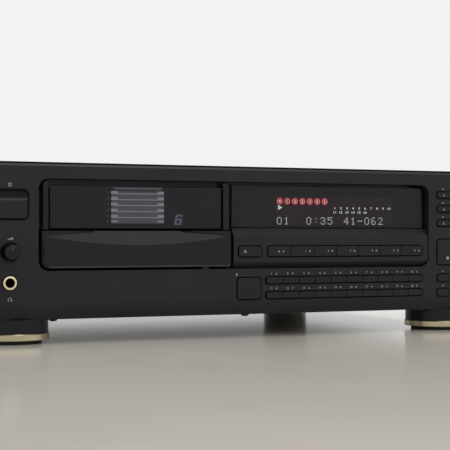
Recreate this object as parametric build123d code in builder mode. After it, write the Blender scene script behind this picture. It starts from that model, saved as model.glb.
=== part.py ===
from build123d import *
import os
from math import cos, pi, radians, sin, tan

# Disc changer for a six-disc magazine and one single disc, in millimetres.
# +X is to the right of the front panel, -Y is in front of it and +Z is up.
# The origin is on the floor under the middle of the outline.
os.makedirs("parts", exist_ok=True)

# Discs and the trays that carry them
disc_radius = 60.0
disc_clearance = 0.6
tray_rim = 2.4
tray_thickness = 2.4
tray_recess_depth = 1.5
tray_pitch = 3.4
tray_count = 6
slot_half_width = 18.0
slide_gap = 0.3
running_gap = 0.05

# Magazine that holds the trays
magazine_shell = 1.0
magazine_side_wall = 2.2
magazine_front_wall = 2.0
magazine_lead_in = 2.0
magazine_tail = 2.0
rib_reach = 1.6
rib_thickness = 0.5
magazine_front_depth = 48.0
tray_travel = 132.0

# Magazine door
door_thickness = 2.8
door_face_depth = 2.0
door_side_margin = 1.9
door_end_gap = 1.5
hinge_depth = 3.6
hinge_drop = 6.2
hinge_edge = 1.3
hinge_pin_radius = 1.0
hinge_pin_length = 3.0

# Stack of the front, from the floor up
foot_height = 18.1
lower_band = 35.4
bay_floor_gap = 1.8
drawer_front_height = 27.3
door_gap = 1.5
magazine_rise = 1.5
door_top_gap = 4.8
upper_band = 10.6
cover_rise = 1.8

# Row of the front, from left to right
left_section = 48.8
left_bay_gap = 2.2
frame_left_step = 1.0
left_strip = 4.2
right_strip = 5.5
frame_right_step = 0.5
display_gap = 3.7
display_width = 174.7
right_bay_gap = 0.6
right_section = 62.0

# Front panel moulding
panel_depth = 21.0
panel_wall = 3.0
panel_bevel = 1.6
skirt_height = 11.9
skirt_lean = 3.5
panel_corner = 2.0
bay_corner = 7.5
inner_corner = 6.0
bay_lip_depth = 14.0
bay_lip_wall = 2.0
boss_radius = 3.0

# Single-disc drawer
drawer_reach = 2.5
drawer_front_thickness = 6.5
drawer_travel = 146.0
drawer_length = 190.0
drawer_floor = 2.5
drawer_floor_rise = 3.7
drawer_rail_height = 9.0
drawer_rail_wall = 3.5
drawer_side_gap = 2.0
single_tray_front = 19.0
scoop_lean = 12.0
scoop_rise = 5.2
scoop_dip = 6.5
scoop_end_drop = 4.0
scoop_side_inset = 2.3

# Loader frame
loader_wall = 1.8
loader_half_width = 75.5
loader_front_depth = 24.0
loader_rise = 9.9
loader_floor = 2.0
shelf_thickness = 1.4
guide_thickness = 1.2
ledge_reach = 2.5

# Lifting disc drive
lift_gap = 10.0
lift_plate = 3.0
lift_travel = 44.0
lift_half_width = 74.0
turntable_drop = 2.0
turntable_radius = 15.0
turntable_thickness = 2.5
hub_radius = 7.4
hub_height = 1.5
spindle_radius = 1.0
spindle_motor_radius = 12.0
spindle_motor_height = 10.0
sled_half_width = 15.0
sled_length = 26.0
sled_start = 20.0
sled_travel = 34.0
sled_rod_radius = 1.5
sled_rod_offset = 12.0
lens_radius = 3.5
rod_radius = 2.0
rod_offset = 68.0
rod_inset = 8.0
clamp_headroom = 3.4
bridge_thickness = 3.0
bridge_width = 20.0
clamper_radius = 16.0
clamper_neck = 6.0

# Gears and motors
gear_module = 1.0
pinion_teeth = 20
lift_gear_teeth = 24
gear_width = 6.0
tooth_play = 0.5
motor_radius = 7.0
motor_length = 18.0
motor_shaft_radius = 1.0

# Keys, sizes of caps and their places from the panel's edges
key_gap = 0.2
opening_play = 0.35
key_proud = 0.8
key_travel = 0.8
switch_gap = 0.15
key_flange = 1.0
key_flange_thickness = 1.2
key_corner = 2.0
cap_corner = 0.5
switch_size = 5.0
board_depth = 15.0
board_thickness = 1.6
disc_key_count = 7
disc_key_pitch = 20.06
disc_key_height = 8.2
disc_key_rise = 9.2
number_key_count = 10
number_key_pitch = 14.2
number_key_height = 5.3
number_upper_drop = 12.0
number_lower_drop = 23.6
disc_key_inset = 28.9
number_key_inset = 27.3
eject_inset = 3.9
eject_width = 19.7
open_key_inset = 2.7
open_key_width = 20.0
open_key_height = 16.9
open_key_rise = 11.6
side_key_inset = 8.0
side_key_width = 21.0
side_key_space = 3.0
mode_key_height = 5.3
mode_key_pitch = 11.6
mode_key_rows = 3
mode_key_top = 21.3
play_key_height = 21.0
play_key_rise = 36.8
function_key_width = 11.7
function_key_height = 6.2
function_key_pitch = 11.85
function_key_rise = 10.9

# Left section: power key, level knob and headphone socket
left_column = 27.8
power_key_width = 27.3
power_key_height = 22.0
power_key_rise = 72.4
power_key_slope = 7.0
power_key_lean = 3.0
power_key_gap = 1.0
power_ridge_reach = 2.5
power_key_travel = 3.0
power_key_corner = 4.2
knob_rise = 49.3
knob_radius = 5.5
knob_well_radius = 7.3
knob_reach = 9.0
knob_tail = 2.5
knob_shaft_radius = 3.0
jack_rise = 27.0
jack_bore_radius = 3.25
jack_collar_radius = 5.3
jack_collar_reach = 0.9
jack_length = 31.0
jack_body_half = 8.0

# Steel case
sheet = 1.2
cover_sheet = 1.0
chassis_inset = 5.0
cover_side_gap = 0.5
cover_front_depth = 9.0
flange_height = 12.0
rear_space = 30.0
vent_count = 22
vent_width = 3.0
vent_length = 34.0
vent_pitch = 7.0
vent_place = 93.0
vent_row_space = 12.0
screw_radius = 1.5
screw_head_radius = 3.2
screw_head_height = 2.0
screw_length = 6.0
screw_play = 0.2
screw_depth = 12.0
middle_screw_place = 217.0
rear_screw_inset = 30.0
rear_screw_drop = 12.0
board_screw_inset = 8.0
board_screw_rise = 5.5

# Feet
front_foot_inset = 36.0
front_foot_depth = 28.5
rear_foot_depth = 327.0
foot_radius = 26.7
foot_ring_radius = 27.5
foot_ring_inner = 22.3
foot_ring_low = 2.9
foot_ring_height = 4.9
foot_pad_radius = 22.0
rear_foot_radius = 22.5
rear_pad_radius = 19.0

# Rear sockets
socket_radius = 4.15
socket_bore_radius = 1.8
socket_length = 8.3
socket_spacing = 14.0
socket_block_depth = 12.0
socket_boss_step = 0.25
socket_hole_play = 0.4
socket_rise = 42.0
socket_inset = 125.0
gland_bore_radius = 3.6
gland_neck_radius = 5.2
gland_neck_play = 0.1
gland_flange_radius = 7.0
gland_flange = 2.0
gland_inset = 34.0
gland_rise = 30.0

# Board, capacitors and transformer behind the display
main_board_rise = 8.7
standoff_inset = 6.0
loader_foot_inset = 8.0
main_board_inset = 35.9
chip_width = 14.0
chip_pitch = 30.0
chip_side_inset = 22.0
chip_front_inset = 30.0
main_board_width = 175.0
main_board_length = 190.0
capacitor_radius = 8.0
capacitor_height = 26.0
capacitor_count = 4
capacitor_pitch = 20.0
transformer_width = 66.0
transformer_depth = 56.0
transformer_height = 46.0
transformer_inset = 70.0
transformer_place = 80.0
coil_overhang = 11.0

# Heights worked out from the stack
panel_low = foot_height
bay_low = panel_low + lower_band
drawer_front_low = bay_low + bay_floor_gap
drawer_front_high = drawer_front_low + drawer_front_height
door_low = drawer_front_high + door_gap
magazine_low = door_low + magazine_rise
magazine_height = 2 * magazine_shell + tray_count * tray_pitch + 0.4
magazine_high = magazine_low + magazine_height
hinge_z = magazine_high + hinge_drop
door_high = hinge_z + hinge_edge
bay_high = door_high + door_top_gap
panel_high = bay_high + upper_band
cover_high = panel_high + cover_rise
drawer_floor_low = drawer_front_low + drawer_floor_rise
drawer_floor_high = drawer_floor_low + drawer_floor
single_tray_low = drawer_floor_high + slide_gap + 0.2
first_tray_low = magazine_low + magazine_shell + (tray_pitch - tray_thickness) / 2

# Widths worked out from the disc
tray_width = 2 * (disc_radius + disc_clearance + tray_rim)
magazine_width = tray_width + 2 * (slide_gap + magazine_side_wall)
door_width = magazine_width + 2 * door_side_margin
drawer_front_width = (frame_left_step + left_strip + door_width + 2 * door_end_gap + right_strip
                      - frame_right_step)
bay_width = left_bay_gap + drawer_front_width + display_gap + display_width + right_bay_gap
panel_width = left_section + bay_width + right_section
x_left = -panel_width / 2
x_right = panel_width / 2
chassis_half_width = x_right - chassis_inset
bay_left = x_left + left_section
bay_right = bay_left + bay_width
drawer_left = bay_left + left_bay_gap
drawer_right = drawer_left + drawer_front_width
door_left = drawer_left + frame_left_step + left_strip + door_end_gap
door_right = door_left + door_width
display_left = drawer_right + display_gap
display_right = display_left + display_width
x_play = (door_left + door_right) / 2
x_column = x_left + left_column

# Depths behind the panel's face worked out from the trays
tray_length = tray_width
magazine_depth = magazine_front_wall + magazine_lead_in + tray_length + magazine_tail
magazine_rear_depth = magazine_front_depth + magazine_depth
tray_front_depth = magazine_front_depth + magazine_front_wall + magazine_lead_in
play_depth = tray_front_depth + tray_length / 2 + tray_travel
lift_front_depth = max(magazine_rear_depth + lift_gap, drawer_length)
sled_end_depth = play_depth + sled_start + sled_length + sled_travel
lift_rear_depth = sled_end_depth + 5.0
loader_rear_depth = lift_rear_depth + 6.0
case_depth = loader_rear_depth + rear_space
total_depth = knob_reach + case_depth + socket_length
y_face = -total_depth / 2 + knob_reach


def block(x0, x1, d0, d1, z0, z1, mode=Mode.ADD):
    """Box between two places across, two depths behind the panel's face and two heights."""
    with Locations(((x0 + x1) / 2, y_face + (d0 + d1) / 2, (z0 + z1) / 2)):
        Box(x1 - x0, d1 - d0, z1 - z0, mode=mode)


def round_y(x, z, d0, d1, radius, mode=Mode.ADD):
    """Cylinder along the depth."""
    with Locations(Location((x, y_face + (d0 + d1) / 2, z), (90, 0, 0))):
        Cylinder(radius, d1 - d0, mode=mode)


def round_z(x, depth, z0, z1, radius, mode=Mode.ADD):
    """Upright cylinder."""
    with Locations((x, y_face + depth, (z0 + z1) / 2)):
        Cylinder(radius, z1 - z0, mode=mode)


def round_x(x0, x1, depth, z, radius, mode=Mode.ADD):
    """Cylinder across the width."""
    with Locations(Location(((x0 + x1) / 2, y_face + depth, z), (0, 90, 0))):
        Cylinder(radius, x1 - x0, mode=mode)


def front_plane(depth):
    """Sketch plane that faces forward, with its x along +X and its y along +Z."""
    return Plane(origin=(0, y_face + depth, 0), x_dir=(1, 0, 0), z_dir=(0, -1, 0))


def window(x0, x1, z0, z1, corner, depth, length, mode=Mode.SUBTRACT):
    """Round-cornered opening or cap, from one depth backward over a length."""
    with BuildSketch(front_plane(depth)) as profile:
        with Locations(((x0 + x1) / 2, (z0 + z1) / 2)):
            RectangleRounded(x1 - x0, z1 - z0, corner)
    extrude(profile.sketch, amount=-length, mode=mode)


def key_opening(left, right, low, high, length):
    """Opening for one key or a row of keys, wider than the caps all round."""
    window(left - opening_play, right + opening_play, low - opening_play, high + opening_play,
           key_corner + opening_play, -1.0, length)


# Places of the keys and their openings: (left, right, low, high) of each opening
board_front = board_depth
field_left = display_left + disc_key_inset
number_left = display_left + number_key_inset
number_right = number_left + number_key_count * number_key_pitch
number_upper_low = bay_low - number_upper_drop
number_lower_low = bay_low - number_lower_drop
number_upper_high = number_upper_low + number_key_height
number_lower_high = number_lower_low + number_key_height
disc_low = bay_low + disc_key_rise
disc_high = disc_low + disc_key_height
disc_right = field_left + disc_key_count * disc_key_pitch
eject_left = display_left + eject_inset
eject_right = eject_left + eject_width
open_left = display_left + open_key_inset
open_right = open_left + open_key_width
open_low = panel_low + open_key_rise
open_high = open_low + open_key_height
side_left = bay_right + side_key_inset
side_middle = side_left + side_key_width + side_key_space
mode_row_high = panel_high - mode_key_top + mode_key_height
play_low = panel_low + play_key_rise
play_high = play_low + play_key_height
power_left = x_column - power_key_width / 2
power_right = x_column + power_key_width / 2
power_low = panel_low + power_key_rise
power_high = power_low + power_key_height
knob_z = panel_low + knob_rise
jack_z = panel_low + jack_rise
mode_rows = [mode_row_high - mode_key_height - row * mode_key_pitch for row in range(mode_key_rows)]
function_rows = [panel_low + function_key_rise + row * function_key_pitch for row in range(2)]
side_columns = [side_left, side_middle]
board_screws = [
    (display_left + 2.0, panel_low + board_screw_rise),
    (display_left + 100.0, panel_low + board_screw_rise),
    (x_right - board_screw_inset, panel_low + board_screw_rise),
    (x_right - board_screw_inset, panel_high - board_screw_inset),
    (display_left + 60.0, panel_high - board_screw_rise),
]
foot_edge = front_foot_inset + foot_radius
under_screws_x = [x_left + foot_edge, x_left + middle_screw_place, x_right - foot_edge]

# Front panel: hollow moulding with the bay, key openings and screw bosses
with BuildPart() as front_panel:
    with BuildSketch(Plane.YZ.offset(x_left)):
        with BuildLine():
            foot_corner = (y_face + skirt_lean, panel_low)
            skirt_top = (y_face, panel_low + skirt_height)
            bevel_low = (y_face, panel_high - panel_bevel)
            bevel_high = (y_face + panel_bevel, panel_high)
            rear_high = (y_face + panel_depth, panel_high)
            rear_low = (y_face + panel_depth, panel_low)
            TangentArc(skirt_top, foot_corner, tangent=(0, -1))
            Polyline(skirt_top, bevel_low, bevel_high, rear_high, rear_low, foot_corner)
        make_face()
    extrude(amount=panel_width)
    end_edges = front_panel.edges().filter_by(Axis.Z).group_by(Axis.Y)[0]
    fillet(end_edges, panel_corner)
    block(x_left + panel_wall, x_right - panel_wall, panel_wall, panel_depth + 1.0,
          panel_low + panel_wall, panel_high - panel_wall, mode=Mode.SUBTRACT)
    window(bay_left - bay_lip_wall, bay_right + bay_lip_wall, bay_low - bay_lip_wall,
           bay_high + bay_lip_wall, bay_corner + bay_lip_wall, 1.0, bay_lip_depth - 1.0, Mode.ADD)
    window(bay_left, bay_right, bay_low, bay_high, bay_corner, -1.0, bay_lip_depth + 2.0)
    window(power_left, power_right, power_low, power_high, power_key_corner, -1.0, 6.0)
    round_y(x_column, knob_z, -1.0, 6.0, knob_well_radius, Mode.SUBTRACT)
    round_y(x_column, jack_z, -1.0, 6.0, jack_collar_radius, Mode.SUBTRACT)
    key_opening(open_left, open_right, open_low, open_high, 6.0)
    key_opening(number_left, number_right, number_upper_low, number_upper_high, 6.0)
    key_opening(number_left, number_right, number_lower_low, number_lower_high, 6.0)
    for column in side_columns:
        for low in mode_rows:
            key_opening(column, column + side_key_width, low, low + mode_key_height, 6.0)
        for low in function_rows:
            key_opening(column, column + function_key_width, low, low + function_key_height, 6.0)
        key_opening(column, column + side_key_width, play_low, play_high, 6.0)
    for boss_x, boss_z in board_screws:
        round_y(boss_x, boss_z, panel_wall - 0.5, board_front, boss_radius)
    for screw_x in under_screws_x:
        round_z(screw_x, screw_depth, panel_low - 1.0, panel_low + panel_wall + 1.0,
                screw_radius + screw_play, Mode.SUBTRACT)
front_panel.part.label = "front_panel"
export_step(front_panel.part, "parts/front_panel.step")

# Frame round the magazine door: two strips and a recessed bar between them
strip_low = door_low - 0.5
strip_high = bay_high - 1.1
strip_face = 0.9
frame_rear = 9.0
frame_web = 1.5
frame_left = drawer_left + frame_left_step
frame_right = drawer_right + frame_right_step
door_bay_left = door_left - door_end_gap
door_bay_right = door_right + door_end_gap
with BuildPart() as door_frame:
    block(frame_left, door_bay_left, strip_face, frame_rear, strip_low, strip_high)
    block(door_bay_right, frame_right, strip_face, frame_rear, strip_low, strip_high)
    outer_edges = door_frame.edges().filter_by(Axis.Y).group_by(Axis.Z)[-1]
    fillet([outer_edges.sort_by(Axis.X)[0], outer_edges.sort_by(Axis.X)[-1]], 3.5)
    front_edges = door_frame.edges().filter_by(Axis.Z).group_by(Axis.Y)[0]
    fillet([front_edges.sort_by(Axis.X)[0], front_edges.sort_by(Axis.X)[-1]], 1.5)
    block(door_bay_left - 1.0, door_bay_right + 1.0, frame_rear - frame_web, frame_rear,
          magazine_high + 1.0, bay_high - slide_gap)
    block(bay_left + slide_gap, frame_left + 0.5, frame_rear - frame_web, frame_rear,
          strip_low, strip_high - bay_corner)
    round_x(door_bay_left - hinge_pin_length, door_bay_left + 1.0, hinge_depth, hinge_z,
            hinge_pin_radius + running_gap, Mode.SUBTRACT)
    round_x(door_bay_right - 1.0, door_bay_right + hinge_pin_length, hinge_depth, hinge_z,
            hinge_pin_radius + running_gap, Mode.SUBTRACT)
door_frame.part.label = "door_frame"
export_step(door_frame.part, "parts/door_frame.step")

# Magazine door: flap with a pin at each end of its top edge
with BuildPart() as magazine_door:
    block(door_left, door_right, door_face_depth, door_face_depth + door_thickness, door_low, door_high)
    fillet(magazine_door.edges().filter_by(Axis.X).group_by(Axis.Z)[-1], door_thickness / 2 - 0.3)
    chamfer(magazine_door.edges().filter_by(Axis.X).group_by(Axis.Z)[0].sort_by(Axis.Y)[0], 0.5)
    pin_reach = door_end_gap + hinge_pin_length - 0.4
    round_x(door_left - pin_reach, door_left + 0.5, hinge_depth, hinge_z, hinge_pin_radius)
    round_x(door_right - 0.5, door_right + pin_reach, hinge_depth, hinge_z, hinge_pin_radius)
magazine_door.part.label = "magazine_door"
export_step(magazine_door.part, "parts/magazine_door.step")


def disc_tray(front_depth, low):
    """Square carrier with a round disc recess and a slot open to the rear."""
    centre_depth = front_depth + tray_length / 2
    high = low + tray_thickness
    left = x_play - tray_width / 2
    right = x_play + tray_width / 2
    with BuildPart() as tray:
        block(left, right, front_depth, front_depth + tray_length, low, high)
        fillet(tray.edges().filter_by(Axis.Z), 2.0)
        round_z(x_play, centre_depth, high - tray_recess_depth, high + 1.0,
                disc_radius + disc_clearance, Mode.SUBTRACT)
        block(x_play - slot_half_width, x_play + slot_half_width, centre_depth,
              front_depth + tray_length + 1.0, low - 1.0, high + 1.0, mode=Mode.SUBTRACT)
        round_z(x_play, centre_depth, low - 1.0, high + 1.0, slot_half_width, Mode.SUBTRACT)
    return tray.part


# Six magazine trays, one above the other
for number in range(tray_count):
    tray_low = first_tray_low + number * tray_pitch
    with BuildPart() as magazine_tray:
        add(disc_tray(tray_front_depth, tray_low))
    magazine_tray.part.label = f"magazine_tray_{number + 1}"
    export_step(magazine_tray.part, f"parts/magazine_tray_{number + 1}.step")

# Magazine: box open at the rear, with ribs between the trays
magazine_left = x_play - magazine_width / 2
magazine_right = x_play + magazine_width / 2
with BuildPart() as magazine_case:
    block(magazine_left, magazine_right, magazine_front_depth, magazine_rear_depth,
          magazine_low, magazine_high)
    fillet(magazine_case.edges().filter_by(Axis.Z).group_by(Axis.Y)[0], 2.5)
    block(magazine_left + magazine_side_wall, magazine_right - magazine_side_wall,
          magazine_front_depth + magazine_front_wall, magazine_rear_depth + 1.0,
          magazine_low + magazine_shell, magazine_high - magazine_shell, mode=Mode.SUBTRACT)
    for number in range(1, tray_count):
        rib_z = first_tray_low + number * tray_pitch - (tray_pitch - tray_thickness) / 2
        for wall_x, side in ((magazine_left, 1), (magazine_right, -1)):
            inner = wall_x + side * (magazine_side_wall - 0.5)
            tip = wall_x + side * (magazine_side_wall + rib_reach)
            block(min(inner, tip), max(inner, tip), magazine_front_depth + magazine_front_wall,
                  magazine_rear_depth, rib_z - rib_thickness / 2, rib_z + rib_thickness / 2)
magazine_case.part.label = "magazine_case"
export_step(magazine_case.part, "parts/magazine_case.step")

# Drawer: floor with side rails, guides for the single tray and a rack underneath
pitch_step = pi * gear_module
pinion_radius = gear_module * pinion_teeth / 2
pinion_depth = loader_front_depth + pinion_radius + 2.0
rack_pitch_z = drawer_floor_low - 1.4
pinion_z = rack_pitch_z - pinion_radius
drawer_rail_left = drawer_left + drawer_side_gap
drawer_rail_right = drawer_right - drawer_side_gap
rack_right = drawer_rail_right - ledge_reach - 1.0
rack_left = rack_right - gear_width
rack_steps = int((drawer_travel + 20.0) / pitch_step)
drawer_back = drawer_length
tray_guide = 2.0
rack_root = 1.5


def rack_tooth(thickness_shift):
    """Half widths of a rack tooth at a height above the pitch line."""
    return pitch_step / 4 - tooth_play / 2 - thickness_shift * tan(radians(20.0))


with BuildPart() as disc_drawer:
    block(drawer_rail_left, drawer_rail_right, drawer_front_thickness - drawer_reach, drawer_back,
          drawer_floor_low, drawer_floor_high)
    rail_high = drawer_floor_low + drawer_rail_height
    block(drawer_rail_left, drawer_rail_left + drawer_rail_wall, drawer_front_thickness - drawer_reach,
          drawer_back, drawer_floor_low, rail_high)
    block(drawer_rail_right - drawer_rail_wall, drawer_rail_right,
          drawer_front_thickness - drawer_reach, drawer_back, drawer_floor_low, rail_high)
    block(drawer_rail_left, drawer_rail_right, drawer_front_thickness - drawer_reach,
          drawer_front_thickness - drawer_reach + 3.0, drawer_floor_low, drawer_front_high - 2.0)
    for side in (-1, 1):
        guide_inner = x_play + side * (tray_width / 2 + slide_gap)
        guide_outer = guide_inner + side * tray_guide
        block(min(guide_inner, guide_outer), max(guide_inner, guide_outer), single_tray_front,
              drawer_back, drawer_floor_high - 0.5, single_tray_low + tray_thickness)
        block(min(guide_inner - side * 6.0, guide_outer), max(guide_inner - side * 6.0, guide_outer),
              single_tray_front, drawer_back, drawer_floor_high - 0.5, single_tray_low - 0.2)
    with BuildSketch(Plane.YZ.offset(rack_left)):
        for step in range(rack_steps):
            with Locations((y_face + pinion_depth + (step - 3) * pitch_step, rack_pitch_z)):
                Polygon(
                    (-rack_tooth(gear_module), -gear_module),
                    (rack_tooth(gear_module), -gear_module),
                    (rack_tooth(-rack_root), rack_root),
                    (-rack_tooth(-rack_root), rack_root),
                    align=None,
                )
    extrude(amount=gear_width)
disc_drawer.part.label = "disc_drawer"
export_step(disc_drawer.part, "parts/disc_drawer.step")

# Lens-shaped scoop in the drawer's front, shallow at its lower arc and deep at the top
scoop_left = drawer_left + scoop_side_inset
scoop_right = drawer_right - scoop_side_inset
scoop_middle = (scoop_left + scoop_right) / 2
scoop_end_z = drawer_front_high - scoop_end_drop
with BuildPart() as scoop:
    with BuildSketch(front_plane(-drawer_reach)):
        with BuildLine():
            ThreePointArc((scoop_left, scoop_end_z), (scoop_middle, scoop_end_z - scoop_dip),
                          (scoop_right, scoop_end_z))
            Polyline((scoop_right, scoop_end_z), (scoop_right, drawer_front_high + 2.0),
                     (scoop_left, drawer_front_high + 2.0), (scoop_left, scoop_end_z))
        make_face()
    extrude(amount=30.0, dir=(0, sin(radians(scoop_lean)), cos(radians(scoop_lean))))
    with BuildSketch(front_plane(-drawer_reach - 1.0)):
        with BuildLine():
            ThreePointArc((scoop_left, scoop_end_z), (scoop_middle, scoop_end_z - scoop_dip - 0.5),
                          (scoop_right, scoop_end_z))
            ThreePointArc((scoop_left, scoop_end_z), (scoop_middle, scoop_end_z + scoop_rise),
                          (scoop_right, scoop_end_z))
        make_face()
    extrude(amount=-8.0, mode=Mode.INTERSECT)

# Drawer front
with BuildPart() as drawer_front:
    block(drawer_left, drawer_right, -drawer_reach, drawer_front_thickness - drawer_reach,
          drawer_front_low, drawer_front_high)
    corner_edges = drawer_front.edges().filter_by(Axis.Y).group_by(Axis.Z)[0]
    fillet(corner_edges.sort_by(Axis.X)[0], 5.0)
    chamfer(drawer_front.faces().sort_by(Axis.Y)[0].edges().sort_by(Axis.Z)[0], 1.6)
    add(scoop.part, mode=Mode.SUBTRACT)
drawer_front.part.label = "drawer_front"
export_step(drawer_front.part, "parts/drawer_front.step")

# Single-disc tray on the drawer
with BuildPart() as single_tray:
    add(disc_tray(single_tray_front, single_tray_low))
single_tray.part.label = "single_tray"
export_step(single_tray.part, "parts/single_tray.step")


def spur_gear(teeth):
    """Straight-sided spur gear outline about the sketch's origin, bored for the motor's shaft."""
    pitch = gear_module * teeth / 2
    half_pitch = pitch_step / 4 - tooth_play / 2
    half_root = half_pitch + 0.45 * gear_module
    half_tip = half_pitch - 0.4 * gear_module
    with BuildSketch() as outline:
        Circle(pitch - 1.3 * gear_module)
        for index in range(teeth):
            with Locations(Location((0, 0), index * 360.0 / teeth)):
                Polygon(
                    (pitch - 1.5 * gear_module, -half_root),
                    (pitch, -half_pitch),
                    (pitch + gear_module, -half_tip),
                    (pitch + gear_module, half_tip),
                    (pitch, half_pitch),
                    (pitch - 1.5 * gear_module, half_root),
                    align=None,
                )
        Circle(motor_shaft_radius + running_gap, mode=Mode.SUBTRACT)
    return outline.sketch


# Drawer pinion on a shaft across the width, meshing with the rack above it
with BuildPart() as drawer_pinion:
    pinion_plane = Plane(origin=(rack_left, y_face + pinion_depth, pinion_z),
                         x_dir=(0, cos(radians(90.0 - 180.0 / pinion_teeth)),
                                sin(radians(90.0 - 180.0 / pinion_teeth))), z_dir=(1, 0, 0))
    with BuildSketch(pinion_plane):
        add(spur_gear(pinion_teeth))
    extrude(amount=gear_width)
drawer_pinion.part.label = "drawer_pinion"
export_step(drawer_pinion.part, "parts/drawer_pinion.step")

# Lift geometry: plate, bridge over the disc and rack for the lift gear
turntable_top = single_tray_low - turntable_drop
lift_plate_high = turntable_top - turntable_thickness - 6.5
lift_plate_low = lift_plate_high - lift_plate
bridge_low = single_tray_low + tray_thickness + clamp_headroom + 2.7
bridge_high = bridge_low + bridge_thickness
bridge_front = play_depth - bridge_width / 2
bridge_rear = play_depth + bridge_width / 2
post_inner = tray_width / 2 + 2.0
post_outer = post_inner + 2.5
loader_floor_low = panel_low + sheet + loader_rise - 1.2
loader_floor_high = loader_floor_low + loader_floor
rod_depths = [lift_front_depth + rod_inset, lift_rear_depth - rod_inset]
rod_places = [x_play - rod_offset, x_play + rod_offset]
sled_rod_z = lift_plate_low - sled_rod_radius - 0.2
sled_low = sled_rod_z - 2.6
rod_lug = 3.0
lift_gear_radius = gear_module * lift_gear_teeth / 2
lift_rack_pitch_x = x_play + lift_half_width - 1.0
lift_gear_x = lift_rack_pitch_x + lift_gear_radius
lift_rack_low = loader_floor_high + 1.0
lift_gear_z = lift_rack_low + lift_travel + 4.5
lift_rack_high = lift_gear_z + 5.0
lift_gear_front = lift_rear_depth - 32.0
lift_gear_rear = lift_gear_front + gear_width
lift_tooth_count = int((lift_rack_high - lift_rack_low) / pitch_step)

# Lift frame: carries the turntable, the pickup sled and the clamper
with BuildPart() as lift_frame:
    block(x_play - lift_half_width, x_play + lift_half_width, lift_front_depth, lift_rear_depth,
          lift_plate_low, lift_plate_high)
    for rod_x in rod_places:
        for rod_d in rod_depths:
            round_z(rod_x, rod_d, lift_plate_low - 4.0, lift_plate_high + 5.0, rod_radius + 3.0)
    for side in (-1, 1):
        inner = x_play + side * post_inner
        outer = x_play + side * post_outer
        block(min(inner, outer), max(inner, outer), bridge_front, bridge_rear,
              lift_plate_low, bridge_high)
        near = x_play + side * (sled_rod_offset - 3.0)
        far = x_play + side * (sled_rod_offset + 3.0)
        slot_front = play_depth + sled_start - 2.0
        slot_rear = sled_end_depth + 2.0
        for lug_front in (slot_front - rod_lug, slot_rear):
            block(min(near, far), max(near, far), lug_front, lug_front + rod_lug,
                  sled_rod_z - 2.2, lift_plate_high)
    block(x_play - post_outer, x_play + post_outer, bridge_front, bridge_rear, bridge_low, bridge_high)
    block(x_play - sled_half_width - 4.0, x_play + sled_half_width + 4.0, slot_front, slot_rear,
          lift_plate_low - 1.0, lift_plate_high + 1.0, mode=Mode.SUBTRACT)
    for side in (-1, 1):
        round_y(x_play + side * sled_rod_offset, sled_rod_z, slot_front - rod_lug, slot_rear + rod_lug,
                sled_rod_radius)
    round_z(x_play, play_depth, lift_plate_low - 1.0, lift_plate_high + 1.0, 4.0, Mode.SUBTRACT)
    round_z(x_play, play_depth, bridge_low - 1.0, bridge_high + 1.0, clamper_neck + running_gap,
            Mode.SUBTRACT)
    for rod_x in rod_places:
        for rod_d in rod_depths:
            round_z(rod_x, rod_d, lift_plate_low - 6.0, lift_plate_high + 7.0,
                    rod_radius + running_gap, Mode.SUBTRACT)
    block(lift_rack_pitch_x - rack_root, x_play + lift_half_width + 1.0, lift_gear_front - 1.0,
          lift_gear_rear + 1.0, lift_plate_low - 1.0, lift_plate_high + 1.0, mode=Mode.SUBTRACT)
    block(lift_rack_pitch_x - 4.5, lift_rack_pitch_x - 1.2, lift_gear_front, lift_gear_rear,
          lift_rack_low, lift_rack_high)
    with BuildSketch(front_plane(lift_gear_front)):
        for step in range(lift_tooth_count):
            tooth_z = lift_gear_z - (lift_tooth_count - 1 - step) * pitch_step + pitch_step
            with Locations((lift_rack_pitch_x, tooth_z)):
                Polygon(
                    (gear_module, -rack_tooth(gear_module)),
                    (gear_module, rack_tooth(gear_module)),
                    (-rack_root, rack_tooth(-rack_root)),
                    (-rack_root, -rack_tooth(-rack_root)),
                    align=None,
                )
    extrude(amount=-gear_width)
lift_frame.part.label = "lift_frame"
export_step(lift_frame.part, "parts/lift_frame.step")

# Lift gear on its motor's shaft
with BuildPart() as lift_gear:
    lift_gear_plane = Plane(origin=(lift_gear_x, y_face + lift_gear_front, lift_gear_z),
                            x_dir=(cos(radians(180.0 - 180.0 / lift_gear_teeth)), 0,
                                   sin(radians(180.0 - 180.0 / lift_gear_teeth))), z_dir=(0, -1, 0))
    with BuildSketch(lift_gear_plane):
        add(spur_gear(lift_gear_teeth))
    extrude(amount=-gear_width)
lift_gear.part.label = "lift_gear"
export_step(lift_gear.part, "parts/lift_gear.step")

# Spindle motor under the lift plate
with BuildPart() as spindle_motor:
    round_z(x_play, play_depth, lift_plate_low - spindle_motor_height, lift_plate_low,
            spindle_motor_radius)
    round_z(x_play, play_depth, lift_plate_low - spindle_motor_height + 2.0, lift_plate_low + 1.0,
            spindle_radius + running_gap, Mode.SUBTRACT)
spindle_motor.part.label = "spindle_motor"
export_step(spindle_motor.part, "parts/spindle_motor.step")

# Turntable with its spindle and centring hub
with BuildPart() as turntable:
    round_z(x_play, play_depth, turntable_top - turntable_thickness, turntable_top, turntable_radius)
    round_z(x_play, play_depth, turntable_top - 0.5, turntable_top + hub_height, hub_radius)
    chamfer(turntable.edges().filter_by(GeomType.CIRCLE).group_by(Axis.Z)[-1], 0.8)
    round_z(x_play, play_depth, lift_plate_low - spindle_motor_height + 3.0,
            turntable_top - turntable_thickness + 0.5, spindle_radius)
turntable.part.label = "turntable"
export_step(turntable.part, "parts/turntable.step")

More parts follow.
